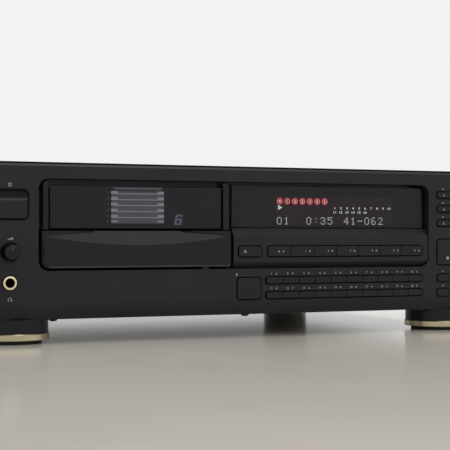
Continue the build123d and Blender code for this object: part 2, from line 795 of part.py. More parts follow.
# Pickup sled with its lens, riding on the two rods of the lift frame
sled_front = play_depth + sled_start
with BuildPart() as pickup_sled:
    block(x_play - sled_half_width, x_play + sled_half_width, sled_front, sled_front + sled_length,
          sled_low, lift_plate_high + 4.0)
    fillet(pickup_sled.edges().filter_by(Axis.Z), 2.0)
    round_z(x_play, sled_front + sled_length / 2, lift_plate_high + 3.5, lift_plate_high + 5.2,
            lens_radius)
    for side in (-1, 1):
        round_y(x_play + side * sled_rod_offset, sled_rod_z, sled_front - 1.0,
                sled_front + sled_length + 1.0, sled_rod_radius + running_gap, Mode.SUBTRACT)
pickup_sled.part.label = "pickup_sled"
export_step(pickup_sled.part, "parts/pickup_sled.step")

# Clamper: puck under the bridge, held by a flange above it
clamper_top = bridge_low - slide_gap
with BuildPart() as clamper:
    round_z(x_play, play_depth, clamper_top - 2.0, clamper_top, clamper_radius)
    round_z(x_play, play_depth, clamper_top - 0.5, bridge_high + slide_gap + 0.5, clamper_neck)
    round_z(x_play, play_depth, bridge_high + slide_gap, bridge_high + slide_gap + 1.5,
            clamper_neck + 3.0)
clamper.part.label = "clamper"
export_step(clamper.part, "parts/clamper.step")

# Upright rods that guide the lift
with BuildPart() as lift_rods:
    for rod_x in rod_places:
        for rod_d in rod_depths:
            round_z(rod_x, rod_d, loader_floor_high, lift_plate_high + 5.0 + lift_travel + 4.0,
                    rod_radius)
lift_rods.part.label = "lift_rods"
export_step(lift_rods.part, "parts/lift_rods.step")

# Loader frame: floor, side walls, drawer ledges, magazine shelf and roof
loader_left = x_play - loader_half_width
loader_right = x_play + loader_half_width
shelf_high = magazine_low - slide_gap
shelf_low = shelf_high - shelf_thickness
shelf_rear = magazine_rear_depth + 4.0
roof_low = magazine_high + slide_gap
roof_high = roof_low + guide_thickness
ledge_high = drawer_floor_low - slide_gap
pinion_bracket_right = rack_left - 1.2
pinion_bracket_left = pinion_bracket_right - 1.5
with BuildPart() as loader_frame:
    block(loader_left - loader_wall, loader_right + loader_wall, loader_front_depth,
          loader_rear_depth, loader_floor_low, loader_floor_high)
    for side in (-1, 1):
        wall_in = x_play + side * loader_half_width
        wall_out = wall_in + side * loader_wall
        block(min(wall_in, wall_out), max(wall_in, wall_out), loader_front_depth,
              loader_rear_depth, loader_floor_low, roof_high)
        drawer_edge = drawer_rail_left if side < 0 else drawer_rail_right
        ledge_in = drawer_edge - side * ledge_reach
        block(min(ledge_in, wall_out), max(ledge_in, wall_out), loader_front_depth,
              shelf_rear, ledge_high - guide_thickness, ledge_high)
        block(min(ledge_in, wall_out), max(ledge_in, wall_out), loader_front_depth,
              shelf_rear, rail_high + slide_gap, rail_high + slide_gap + guide_thickness)
        rail_in = x_play + side * (magazine_width / 2 + slide_gap)
        block(min(rail_in, wall_out), max(rail_in, wall_out), loader_front_depth, shelf_rear,
              shelf_low, magazine_low + 6.0)
    block(loader_left - 0.5, loader_right + 0.5, loader_front_depth, shelf_rear, shelf_low, shelf_high)
    block(loader_left - 0.5, loader_right + 0.5, loader_front_depth, shelf_rear, roof_low, roof_high)
    block(pinion_bracket_left, pinion_bracket_right, pinion_depth - 8.0, pinion_depth + 8.0,
          loader_floor_high - 0.5, pinion_z + 6.0)
    round_x(pinion_bracket_left - 1.0, pinion_bracket_right + 1.0, pinion_depth, pinion_z,
            motor_shaft_radius + 0.5, Mode.SUBTRACT)
    block(loader_right - 1.0, loader_right + loader_wall + 1.0, lift_gear_front - 1.5,
          lift_gear_rear + 1.5, lift_gear_z - lift_gear_radius - 3.0,
          lift_gear_z + lift_gear_radius + 3.0, mode=Mode.SUBTRACT)
    block(loader_right + loader_wall - 0.5, lift_gear_x + 10.0, lift_gear_rear + 1.5,
          lift_gear_rear + 3.0, lift_gear_z - 12.0, lift_gear_z + 12.0)
    round_y(lift_gear_x, lift_gear_z, lift_gear_rear + 0.5, lift_gear_rear + 4.0,
            motor_shaft_radius + 0.5, Mode.SUBTRACT)
loader_frame.part.label = "loader_frame"
export_step(loader_frame.part, "parts/loader_frame.step")

# Two small motors: one for the drawer pinion and one for the lift gear
with BuildPart() as drive_motors:
    round_x(pinion_bracket_left - motor_length, pinion_bracket_left, pinion_depth, pinion_z,
            motor_radius)
    round_x(pinion_bracket_left - 1.0, rack_right - 0.5, pinion_depth, pinion_z, motor_shaft_radius)
    round_y(lift_gear_x, lift_gear_z, lift_gear_rear + 3.0, lift_gear_rear + 3.0 + motor_length,
            motor_radius)
    round_y(lift_gear_x, lift_gear_z, lift_gear_front + 0.5, lift_gear_rear + 4.0, motor_shaft_radius)
drive_motors.part.label = "drive_motors"
export_step(drive_motors.part, "parts/drive_motors.step")

# Display window and the glass tube behind it
window_face = 5.7
window_thickness = 2.5
window_top_gap = 1.9
window_bevel = 0.6
sub_ridge_face = 0.6
sub_rear = 9.0
slope_rise = 5.5
sub_high = drawer_front_high + 2.1
with BuildPart() as display_window:
    block(display_left, display_right, window_face, window_face + window_thickness,
          sub_high + 0.3, bay_high - window_top_gap)
    fillet(display_window.edges().filter_by(Axis.Y).group_by(Axis.Z)[-1].sort_by(Axis.X)[-1],
           inner_corner)
    chamfer(display_window.faces().sort_by(Axis.Y)[0].edges(), window_bevel)
display_window.part.label = "display_window"
export_step(display_window.part, "parts/display_window.step")

tube_inset = 30.9
tube_width = 117.0
tube_left = display_left + tube_inset
tube_right = tube_left + tube_width
tube_low = sub_high + 2.0
tube_high = bay_high - 6.5
with BuildPart() as display_tube:
    block(tube_left, tube_right, board_front - 5.5, board_front, tube_low, tube_high)
    chamfer(display_tube.edges().filter_by(Axis.X).group_by(Axis.Y)[0], 1.0)
display_tube.part.label = "display_tube"
export_step(display_tube.part, "parts/display_tube.step")

# Moulding under the display with openings for the eject key and the disc keys
with BuildPart() as sub_panel:
    with BuildSketch(Plane.YZ.offset(display_left)):
        with BuildLine():
            Polyline(
                (y_face + 3.2, bay_low + 0.9),
                (y_face + sub_ridge_face, bay_low + 5.0),
                (y_face + sub_ridge_face, sub_high - slope_rise),
                (y_face + window_face - 0.5, sub_high),
                (y_face + sub_rear, sub_high),
                (y_face + sub_rear, bay_low + 0.9),
                close=True,
            )
        make_face()
    extrude(amount=display_width)
    fillet(sub_panel.edges().filter_by(Axis.Y).group_by(Axis.Z)[0].sort_by(Axis.X)[-1], inner_corner)
    key_opening(eject_left, eject_right, disc_low, disc_high, sub_rear + 2.0)
    key_opening(field_left, disc_right, disc_low, disc_high, sub_rear + 2.0)
sub_panel.part.label = "sub_panel"
export_step(sub_panel.part, "parts/sub_panel.step")

# Front board behind the keys and the display
board_left = display_left - 1.0
board_right = x_right - 5.0
board_rear = board_front + board_thickness
with BuildPart() as front_board:
    block(board_left, board_right, board_front, board_rear, panel_low + 4.0, bay_high + 6.0)
front_board.part.label = "front_board"
export_step(front_board.part, "parts/front_board.step")


def key(left, right, low, high, face, flange_depth, tip, row=None, gap=key_gap, corner=key_corner):
    """Cap in an opening, square beside its neighbours, with a flange and a stem to its switch."""
    row_left, row_right = row or (left, right)
    stem = min(right - left, high - low) / 2 - 0.6
    centre_x = (left + right) / 2
    centre_z = (low + high) / 2
    with BuildPart() as cap:
        with BuildSketch(front_plane(face)) as profile:
            with Locations((centre_x, centre_z)):
                RectangleRounded(right - left - 2 * gap, high - low - 2 * gap, cap_corner)
            with Locations(((row_left + row_right) / 2, centre_z)):
                RectangleRounded(row_right - row_left - 2 * gap, high - low - 2 * gap, corner - gap,
                                 mode=Mode.INTERSECT)
        extrude(profile.sketch, amount=face - flange_depth - key_flange_thickness)
        fillet(cap.faces().sort_by(Axis.Y)[0].edges(), 0.3)
        block(left + gap + 1.0, right - gap - 1.0, flange_depth,
              flange_depth + key_flange_thickness, low - key_flange, high + key_flange)
        block(centre_x - stem / 2, centre_x + stem / 2, flange_depth, tip,
              centre_z - stem / 2, centre_z + stem / 2)
    return cap.part


panel_flange = panel_wall + slide_gap
sub_flange = sub_rear + slide_gap
key_tip = board_front - 1.6 - key_travel - switch_gap
switch_places = []

# Power key with a sloped upper part, over its own travel
power_tip = panel_depth - 8.0 - power_key_travel - switch_gap
with BuildPart() as power_key:
    add(key(power_left, power_right, power_low, power_high, -key_proud, panel_flange, power_tip,
            gap=power_key_gap, corner=power_key_corner))
    with BuildSketch(Plane.YZ.offset(power_left - 1.0)):
        with BuildLine():
            cap_y = y_face - key_proud
            ridge_z = power_high - power_key_slope
            slope = Vector(power_key_lean, power_key_slope + 1.0).normalized() * power_ridge_reach
            round_low = (cap_y, ridge_z - power_ridge_reach)
            round_high = (cap_y + slope.X, ridge_z + slope.Y)
            TangentArc(round_low, round_high, tangent=(0, 1))
            Polyline(round_high, (cap_y + power_key_lean, power_high + 1.0),
                     (cap_y - 1.0, power_high + 1.0), (cap_y - 1.0, round_low[1]), round_low)
        make_face()
    extrude(amount=power_key_width + 2.0, mode=Mode.SUBTRACT)
power_key.part.label = "power_key"
export_step(power_key.part, "parts/power_key.step")

# Eject key and the row of disc keys in the moulding under the display
with BuildPart() as eject_key:
    add(key(eject_left, eject_right, disc_low, disc_high, sub_ridge_face - key_proud, sub_flange, key_tip))
eject_key.part.label = "eject_key"
export_step(eject_key.part, "parts/eject_key.step")
switch_places.append(((eject_left + eject_right) / 2, (disc_low + disc_high) / 2))

for index in range(disc_key_count):
    key_left = field_left + index * disc_key_pitch
    with BuildPart() as disc_key:
        add(key(key_left, key_left + disc_key_pitch, disc_low, disc_high,
                sub_ridge_face - key_proud, sub_flange, key_tip, (field_left, disc_right)))
    disc_key.part.label = f"disc_key_{index + 1}"
    export_step(disc_key.part, f"parts/disc_key_{index + 1}.step")
    switch_places.append((key_left + disc_key_pitch / 2, (disc_low + disc_high) / 2))

# Open and close key of the drawer
with BuildPart() as open_key:
    add(key(open_left, open_right, open_low, open_high, -key_proud, panel_flange, key_tip))
open_key.part.label = "open_key"
export_step(open_key.part, "parts/open_key.step")
switch_places.append(((open_left + open_right) / 2, (open_low + open_high) / 2))


def key_strip(places, low, high, width, row=None):
    """Keys side by side or in rows, joined by a bar behind the panel."""
    with BuildPart() as strip:
        for left, key_low, key_high in places:
            add(key(left, left + width, key_low, key_high, -key_proud, panel_flange, key_tip, row))
        first = min(place[0] for place in places)
        last = max(place[0] for place in places) + width
        block(first + 2.0, last - 2.0, panel_flange, panel_flange + key_flange_thickness, low, high)
    return strip.part


# Two rows of ten number keys, each row one moulding
for row_name, row_low in (("upper", number_upper_low), ("lower", number_lower_low)):
    row_high = row_low + number_key_height
    row_places = [(number_left + index * number_key_pitch, row_low, row_high)
                  for index in range(number_key_count)]
    with BuildPart() as number_keys:
        add(key_strip(row_places, row_low, row_high, number_key_pitch, (number_left, number_right)))
    number_keys.part.label = f"number_keys_{row_name}"
    export_step(number_keys.part, f"parts/number_keys_{row_name}.step")
    for left, key_low, key_high in row_places:
        switch_places.append((left + number_key_pitch / 2, (key_low + key_high) / 2))

# Keys of the right section: six mode keys, four function keys, stop and play
mode_places = [(column, low, low + mode_key_height) for column in side_columns for low in mode_rows]
with BuildPart() as mode_keys:
    add(key_strip(mode_places, mode_rows[-1], mode_rows[0] + mode_key_height, side_key_width))
mode_keys.part.label = "mode_keys"
export_step(mode_keys.part, "parts/mode_keys.step")
function_places = [(column, low, low + function_key_height)
                   for column in side_columns for low in function_rows]
with BuildPart() as function_keys:
    add(key_strip(function_places, function_rows[0], function_rows[-1] + function_key_height,
                  function_key_width))
function_keys.part.label = "function_keys"
export_step(function_keys.part, "parts/function_keys.step")
for left, key_low, key_high in mode_places:
    switch_places.append((left + side_key_width / 2, (key_low + key_high) / 2))
for left, key_low, key_high in function_places:
    switch_places.append((left + function_key_width / 2, (key_low + key_high) / 2))
for key_name, key_left in (("stop_key", side_left), ("play_key", side_middle)):
    with BuildPart() as large_key:
        add(key(key_left, key_left + side_key_width, play_low, play_high, -key_proud,
                panel_flange, key_tip))
    large_key.part.label = key_name
    export_step(large_key.part, f"parts/{key_name}.step")
    switch_places.append((key_left + side_key_width / 2, (play_low + play_high) / 2))

# Push switches on the front board, one behind each key, and the power switch
with BuildPart() as key_switches:
    for switch_x, switch_z in switch_places:
        half = min(switch_size, number_key_height) / 2
        block(switch_x - half, switch_x + half, board_front - 1.6, board_front,
              switch_z - half, switch_z + half)
    power_z = (power_low + power_high) / 2
    block(x_column - 6.0, x_column + 6.0, panel_depth - 8.0, panel_depth, power_z - 6.0, power_z + 6.0)
key_switches.part.label = "key_switches"
export_step(key_switches.part, "parts/key_switches.step")

# Level knob on its shaft, and the control that it turns
pot_front = panel_wall + 2.0
pot_depth = 9.0
with BuildPart() as level_knob:
    round_y(x_column, knob_z, -knob_reach, knob_tail, knob_radius)
    fillet(level_knob.faces().sort_by(Axis.Y)[0].edges(), 0.8)
    round_y(x_column, knob_z, knob_tail - 0.5, pot_front + pot_depth - 2.0, knob_shaft_radius)
level_knob.part.label = "level_knob"
export_step(level_knob.part, "parts/level_knob.step")
with BuildPart() as level_pot:
    block(x_column - 8.5, x_column + 8.5, pot_front, pot_front + pot_depth, knob_z - 8.0, knob_z + 7.0)
    block(x_column - 8.5, x_column + 8.5, panel_wall, pot_front + 0.5, knob_z - 9.5, knob_z - 7.5)
    round_y(x_column, knob_z, pot_front - 1.0, pot_front + pot_depth - 1.5,
            knob_shaft_radius + running_gap, Mode.SUBTRACT)
level_pot.part.label = "level_pot"
export_step(level_pot.part, "parts/level_pot.step")

# Headphone socket and its collar
with BuildPart() as headphone_jack:
    block(x_column - jack_body_half, x_column + jack_body_half, panel_wall, panel_wall + jack_length,
          jack_z - jack_body_half, jack_z + jack_body_half)
    round_y(x_column, jack_z, panel_wall - 1.0, panel_wall + jack_length - 2.0, jack_bore_radius,
            Mode.SUBTRACT)
headphone_jack.part.label = "headphone_jack"
export_step(headphone_jack.part, "parts/headphone_jack.step")
with BuildPart() as jack_collar:
    round_y(x_column, jack_z, 0.0, panel_wall, jack_collar_radius - running_gap)
    round_y(x_column, jack_z, -jack_collar_reach, 0.0, jack_collar_radius)
    fillet(jack_collar.edges().filter_by(GeomType.CIRCLE).group_by(Axis.Y)[0], 0.7)
    round_y(x_column, jack_z, -2.0, panel_wall + 1.0, jack_bore_radius, Mode.SUBTRACT)
jack_collar.part.label = "jack_collar"
export_step(jack_collar.part, "parts/jack_collar.step")

# Chassis: floor, side flanges, front wall with the loader opening and standoffs
wall_front = panel_depth
wall_rear = panel_depth + sheet
floor_high = panel_low + sheet
board_x0 = display_left + main_board_inset
board_x1 = board_x0 + main_board_width
board_d1 = case_depth - sheet - 4.0
board_d0 = board_d1 - main_board_length
main_board_low = floor_high + main_board_rise
standoff_places = [
    (x, depth)
    for x in (board_x0 + standoff_inset, board_x1 - standoff_inset)
    for depth in (board_d0 + standoff_inset, board_d1 - standoff_inset)
]
loader_places = [
    (x, depth)
    for x in (loader_left + loader_foot_inset, loader_right - loader_foot_inset)
    for depth in (loader_front_depth + loader_foot_inset, loader_rear_depth - loader_foot_inset)
]
side_screw_depths = [60.0, case_depth - 50.0]
side_screw_z = panel_low + 7.0
with BuildPart() as chassis_base:
    block(-chassis_half_width, chassis_half_width, wall_front, case_depth - sheet, panel_low, floor_high)
    for side in (-1, 1):
        outer = side * chassis_half_width
        inner = outer - side * sheet
        block(min(outer, inner), max(outer, inner), wall_front, case_depth - sheet,
              panel_low, panel_low + flange_height)
    block(-chassis_half_width, chassis_half_width, wall_front, wall_rear, panel_low, bay_high + 4.0)
    block(loader_left - 3.5, loader_right + 3.5, wall_front - 1.0, wall_rear + 1.0,
          bay_low - 6.0, bay_high + 6.0, mode=Mode.SUBTRACT)
    block(x_column - jack_body_half - 1.0, x_column + jack_body_half + 1.0, wall_front - 1.0,
          wall_rear + 1.0, jack_z - jack_body_half - 1.0, jack_z + jack_body_half + 1.0,
          mode=Mode.SUBTRACT)
    for place_x, place_d in standoff_places:
        round_z(place_x, place_d, panel_low, main_board_low, 3.0)
    for place_x, place_d in loader_places:
        round_z(place_x, place_d, panel_low, loader_floor_low, 4.0)
    for depth in side_screw_depths:
        round_x(-chassis_half_width - 1.0, chassis_half_width + 1.0, depth, side_screw_z,
                screw_radius + screw_play, Mode.SUBTRACT)
chassis_base.part.label = "chassis_base"
export_step(chassis_base.part, "parts/chassis_base.step")

# Rear panel with holes for the sockets, the gland and the screws
rear_face = case_depth
socket_x = x_right - socket_inset
socket_z = panel_low + socket_rise
gland_x = x_right - gland_inset
gland_z = panel_low + gland_rise
socket_places = [(socket_x - socket_spacing / 2, socket_z), (socket_x + socket_spacing / 2, socket_z)]
rear_screw_places = [(place_x, panel_high - rear_screw_drop)
                     for place_x in (x_left + rear_screw_inset, 0.0, x_right - rear_screw_inset)]
with BuildPart() as rear_panel:
    block(-chassis_half_width, chassis_half_width, rear_face - sheet, rear_face, panel_low,
          cover_high - cover_sheet)
    for place_x, place_z in socket_places:
        round_y(place_x, place_z, rear_face - 3.0, rear_face + 1.0, socket_radius + socket_hole_play,
                Mode.SUBTRACT)
    round_y(gland_x, gland_z, rear_face - 3.0, rear_face + 1.0, gland_neck_radius + gland_neck_play,
            Mode.SUBTRACT)
    for place_x, place_z in rear_screw_places:
        round_y(place_x, place_z, rear_face - 3.0, rear_face + 1.0, screw_radius + screw_play,
                Mode.SUBTRACT)
rear_panel.part.label = "rear_panel"
export_step(rear_panel.part, "parts/rear_panel.step")

# Output sockets: a block inside the rear panel with two barrels through it
with BuildPart() as output_jacks:
    block(socket_x - socket_spacing, socket_x + socket_spacing, rear_face - sheet - socket_block_depth,
          rear_face - sheet, socket_z - 8.0, socket_z + 8.0)
    for place_x, place_z in socket_places:
        round_y(place_x, place_z, rear_face - sheet - 0.5, rear_face, socket_radius + socket_boss_step)
        round_y(place_x, place_z, rear_face - 0.5, rear_face + socket_length, socket_radius)
        round_y(place_x, place_z, rear_face - 2.0, rear_face + socket_length + 1.0,
                socket_bore_radius, Mode.SUBTRACT)
output_jacks.part.label = "output_jacks"
export_step(output_jacks.part, "parts/output_jacks.step")

# Rubber gland where the mains lead would leave
with BuildPart() as mains_gland:
    round_y(gland_x, gland_z, rear_face - sheet - 3.0, rear_face + gland_flange, gland_neck_radius)
    round_y(gland_x, gland_z, rear_face, rear_face + gland_flange, gland_flange_radius)
    round_y(gland_x, gland_z, rear_face - sheet - 3.0, rear_face - sheet, gland_flange_radius)
    round_y(gland_x, gland_z, rear_face - sheet - 4.0, rear_face + gland_flange + 1.0,
            gland_bore_radius, Mode.SUBTRACT)
mains_gland.part.label = "mains_gland"
export_step(mains_gland.part, "parts/mains_gland.step")

# Top cover with ventilation slots and screw holes
cover_half = chassis_half_width + cover_side_gap + cover_sheet
cover_low = panel_low + 1.5
vent_front = case_depth - 120.0
with BuildPart() as top_cover:
    block(-cover_half, cover_half, cover_front_depth, rear_face, cover_high - cover_sheet, cover_high)
    for side in (-1, 1):
        outer = side * cover_half
        inner = outer - side * cover_sheet
        block(min(outer, inner), max(outer, inner), panel_depth + slide_gap, rear_face,
              cover_low, cover_high)
    long_edges = top_cover.edges().filter_by(Axis.Y).group_by(Axis.Z)[-1]
    fillet([long_edges.sort_by(Axis.X)[0], long_edges.sort_by(Axis.X)[-1]], cover_sheet * 0.8)
    for row in range(2):
        row_depth = vent_front + row * (vent_length + vent_row_space) + vent_length / 2
        with BuildSketch(Plane.XY.offset(cover_high + 1.0)):
            with Locations((display_left + vent_place, y_face + row_depth)):
                with GridLocations(vent_pitch, 1.0, vent_count, 1):
                    SlotOverall(vent_length, vent_width, rotation=90)
        extrude(amount=-cover_sheet - 2.0, mode=Mode.SUBTRACT)
    for depth in side_screw_depths:
        round_x(-cover_half - 1.0, cover_half + 1.0, depth, side_screw_z,
                screw_radius + screw_play, Mode.SUBTRACT)
top_cover.part.label = "top_cover"
export_step(top_cover.part, "parts/top_cover.step")

# Screws: four in the cover's sides, three in the rear panel and three under the panel
with BuildPart() as case_screws:
    for depth in side_screw_depths:
        for side in (-1, 1):
            seat = side * cover_half
            head = seat + side * screw_head_height
            end = seat - side * screw_length
            round_x(min(seat, head), max(seat, head), depth, side_screw_z, screw_head_radius)
            round_x(min(end, seat), max(end, seat), depth, side_screw_z, screw_radius)
    for place_x, place_z in rear_screw_places:
        round_y(place_x, place_z, rear_face, rear_face + screw_head_height, screw_head_radius)
        round_y(place_x, place_z, rear_face - screw_length, rear_face, screw_radius)
    for place_x in under_screws_x:
        round_z(place_x, screw_depth, panel_low - screw_head_height, panel_low, screw_head_radius)
        round_z(place_x, screw_depth, panel_low, panel_low + screw_length, screw_radius)
case_screws.part.label = "case_screws"
export_step(case_screws.part, "parts/case_screws.step")

# Feet: bodies, gold rings on the front pair, and pads under all four
front_foot_x = [x_left + front_foot_inset, x_right - front_foot_inset]
ring_high = foot_ring_low + foot_ring_height
with BuildPart() as foot_bodies:
    for foot_x in front_foot_x:
        round_z(foot_x, front_foot_depth, ring_high, foot_height, foot_radius)
        round_z(foot_x, front_foot_depth, foot_ring_low, ring_high + 0.5, foot_ring_inner - running_gap)
        round_z(foot_x, rear_foot_depth, foot_ring_low, foot_height, rear_foot_radius)
foot_bodies.part.label = "foot_bodies"
export_step(foot_bodies.part, "parts/foot_bodies.step")
with BuildPart() as foot_rings:
    for foot_x in front_foot_x:
        round_z(foot_x, front_foot_depth, foot_ring_low, ring_high, foot_ring_radius)
    chamfer(foot_rings.edges().filter_by(GeomType.CIRCLE), 0.5)
    for foot_x in front_foot_x:
        round_z(foot_x, front_foot_depth, foot_ring_low - 1.0, ring_high + 1.0, foot_ring_inner,
                Mode.SUBTRACT)
foot_rings.part.label = "foot_rings"
export_step(foot_rings.part, "parts/foot_rings.step")
with BuildPart() as foot_pads:
    for foot_x in front_foot_x:
        round_z(foot_x, front_foot_depth, 0.0, foot_ring_low, foot_pad_radius)
        round_z(foot_x, rear_foot_depth, 0.0, foot_ring_low, rear_pad_radius)
foot_pads.part.label = "foot_pads"
export_step(foot_pads.part, "parts/foot_pads.step")

# Main board with its chips, and the filter capacitors on it
main_board_high = main_board_low + board_thickness
with BuildPart() as main_board:
    block(board_x0, board_x1, board_d0, board_d1, main_board_low, main_board_high)
    for chip in range(5):
        chip_x = board_x0 + chip_side_inset + chip * chip_pitch
        block(chip_x, chip_x + chip_width, board_d0 + chip_front_inset,
              board_d0 + chip_front_inset + chip_width, main_board_high - 0.5, main_board_high + 2.5)
main_board.part.label = "main_board"
export_step(main_board.part, "parts/main_board.step")
with BuildPart() as capacitors:
    for index in range(capacitor_count):
        round_z(board_x1 - 20.0 - index * capacitor_pitch, board_d0 + 80.0, main_board_high,
                main_board_high + capacitor_height, capacitor_radius)
capacitors.part.label = "capacitors"
export_step(capacitors.part, "parts/capacitors.step")

# Mains transformer: core with a winding through its window
core_x = x_right - transformer_inset
core_d = transformer_place
with BuildPart() as transformer:
    block(core_x - transformer_width / 2, core_x + transformer_width / 2, core_d - 12.0, core_d + 12.0,
          floor_high, floor_high + transformer_height)
    block(core_x - transformer_width / 2 + coil_overhang, core_x + transformer_width / 2 - coil_overhang,
          core_d - transformer_depth / 2, core_d + transformer_depth / 2,
          floor_high + 8.0, floor_high + transformer_height - 8.0)
transformer.part.label = "transformer"
export_step(transformer.part, "parts/transformer.step")
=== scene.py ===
"""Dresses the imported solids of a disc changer: finishes, printed marks, the lit display and small fittings.

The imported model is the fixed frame. Lengths are written in millimetres and turned to metres by MM. A depth is
measured backward from the front panel's face.
"""
from __future__ import annotations

import logging
import math
from collections.abc import Iterable, Sequence
from dataclasses import dataclass, field
from enum import Enum
from typing import Protocol

import bmesh
import bpy
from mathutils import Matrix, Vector


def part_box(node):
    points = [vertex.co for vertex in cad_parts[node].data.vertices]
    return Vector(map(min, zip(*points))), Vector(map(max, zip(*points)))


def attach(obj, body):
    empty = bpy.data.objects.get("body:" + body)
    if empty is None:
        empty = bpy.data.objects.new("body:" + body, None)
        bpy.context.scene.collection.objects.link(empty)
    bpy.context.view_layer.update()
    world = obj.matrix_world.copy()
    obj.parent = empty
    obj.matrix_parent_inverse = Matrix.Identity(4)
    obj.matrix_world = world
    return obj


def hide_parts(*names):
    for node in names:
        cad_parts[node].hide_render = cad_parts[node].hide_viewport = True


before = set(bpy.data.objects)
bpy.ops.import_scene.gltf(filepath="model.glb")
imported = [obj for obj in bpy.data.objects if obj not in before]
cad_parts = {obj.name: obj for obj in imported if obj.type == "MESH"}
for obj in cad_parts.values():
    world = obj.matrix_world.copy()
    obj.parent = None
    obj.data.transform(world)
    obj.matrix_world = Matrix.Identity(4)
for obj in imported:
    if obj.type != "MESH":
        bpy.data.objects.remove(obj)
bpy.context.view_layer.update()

LOG = logging.getLogger("disc_changer")
MM = 0.001
FACE_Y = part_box("front_panel")[0].y / MM
# A printed mark stands this far out of its face, too little to see, and goes as far into it.
INK_LIFT = 0.03
INK_SINK = 0.03
# Length of one band of a wave texture whose scale is 1.
WAVE_PERIOD = 0.314
Point = tuple[float, float]


# Colour and nodes


def linear(hex_colour: str, alpha: float = 1.0) -> tuple[float, float, float, float]:
    """Turn an sRGB hex colour to linear light.

    Args:
        hex_colour: Six hex digits after a hash.
        alpha: Opacity to put behind the three channels.

    Returns:
        Red, green, blue and alpha as Blender's sockets take them.
    """
    channels = [int(hex_colour[i:i + 2], 16) / 255.0 for i in (1, 3, 5)]
    red, green, blue = (c / 12.92 if c <= 0.04045 else ((c + 0.055) / 1.055) ** 2.4 for c in channels)
    return red, green, blue, alpha


def add_node(tree: bpy.types.NodeTree, kind: str, settings: dict | None = None,
             inputs: dict | None = None) -> bpy.types.Node:
    """Add a node, set its options and fill or link its inputs.

    Args:
        tree: Node tree to add to.
        kind: Node type, such as ShaderNodeTexNoise.
        settings: Attributes of the node by name.
        inputs: Input sockets by name or index, each a value or an output socket to link.

    Returns:
        The new node.
    """
    node = tree.nodes.new(kind)
    for name, value in (settings or {}).items():
        setattr(node, name, value)
    for name, value in (inputs or {}).items():
        if isinstance(value, bpy.types.NodeSocket):
            tree.links.new(value, node.inputs[name])
        else:
            node.inputs[name].default_value = value
    return node


def new_material(name: str, colour: str) -> tuple[bpy.types.Material, bpy.types.Node]:
    """Make a node material and return it with its empty surface shader.

    Args:
        name: Name of the material.
        colour: sRGB hex colour for the base and for the viewport.

    Returns:
        The material and its Principled shader.
    """
    material = bpy.data.materials.new(name)
    material.use_nodes = True
    material.diffuse_color = linear(colour)
    shader = material.node_tree.nodes["Principled BSDF"]
    shader.inputs["Base Color"].default_value = linear(colour)
    return material, shader


def object_coordinates(tree: bpy.types.NodeTree, stretch: tuple[float, float, float] = (1.0, 1.0, 1.0)
                       ) -> bpy.types.NodeSocket:
    """Coordinates in metres, fixed to the piece, stretched by a factor along each axis.

    Args:
        tree: Node tree to add to.
        stretch: Factors on x, y and z.

    Returns:
        The vector socket.
    """
    place = add_node(tree, "ShaderNodeTexCoord").outputs["Object"]
    return add_node(tree, "ShaderNodeMapping", inputs={"Vector": place, "Scale": stretch}).outputs["Vector"]


def noise(tree: bpy.types.NodeTree, size_mm: float, detail: float = 2.0,
          stretch: tuple[float, float, float] = (1.0, 1.0, 1.0)) -> bpy.types.NodeSocket:
    """Noise whose grains are about a given size.

    Args:
        tree: Node tree to add to.
        size_mm: Size of a grain in millimetres.
        detail: Octaves of finer noise.
        stretch: Factors on the coordinates.

    Returns:
        The factor socket.
    """
    vector = object_coordinates(tree, stretch)
    return add_node(tree, "ShaderNodeTexNoise",
                    inputs={"Vector": vector, "Scale": 1.0 / (size_mm * MM), "Detail": detail}).outputs[0]


def two_tone(tree: bpy.types.NodeTree, factor: bpy.types.NodeSocket, low: str, high: str,
             span: Point = (0.35, 0.65)) -> bpy.types.NodeSocket:
    """Blend two colours over part of a factor's range.

    Args:
        tree: Node tree to add to.
        factor: Socket that drives the blend.
        low: sRGB hex colour at the low end.
        high: sRGB hex colour at the high end.
        span: Factor values where the two ends are reached.

    Returns:
        The colour socket.
    """
    ramp = add_node(tree, "ShaderNodeValToRGB", inputs={"Fac": factor})
    first, last = ramp.color_ramp.elements
    first.position, last.position = span
    first.color, last.color = linear(low), linear(high)
    return ramp.outputs["Color"]


def relief(tree: bpy.types.NodeTree, shader: bpy.types.Node, height: bpy.types.NodeSocket, depth_mm: float,
           strength: float = 1.0) -> None:
    """Give a shader fine relief from a height factor.

    Args:
        tree: Node tree to add to.
        shader: Shader whose normal is set.
        height: Height factor.
        depth_mm: Height of the relief in millimetres.
        strength: Share of the relief that shows.
    """
    bump = add_node(tree, "ShaderNodeBump", inputs={"Height": height, "Distance": depth_mm * MM,
                                                    "Strength": strength})
    tree.links.new(bump.outputs["Normal"], shader.inputs["Normal"])


def roughness_range(tree: bpy.types.NodeTree, shader: bpy.types.Node, factor: bpy.types.NodeSocket,
                    low: float, high: float) -> None:
    """Vary a shader's roughness between two values.

    Args:
        tree: Node tree to add to.
        shader: Shader to set.
        factor: Socket that drives the change.
        low: Roughness at factor 0.
        high: Roughness at factor 1.
    """
    spread = add_node(tree, "ShaderNodeMapRange", inputs={"Value": factor, "To Min": low, "To Max": high})
    tree.links.new(spread.outputs[0], shader.inputs["Roughness"])


# Finishes


class Finish(Protocol):
    """What every finish offers: the name of its material and a way to build it."""

    @property
    def name(self) -> str:
        """Name of the material."""

    def build(self) -> bpy.types.Material:
        """Make the material."""


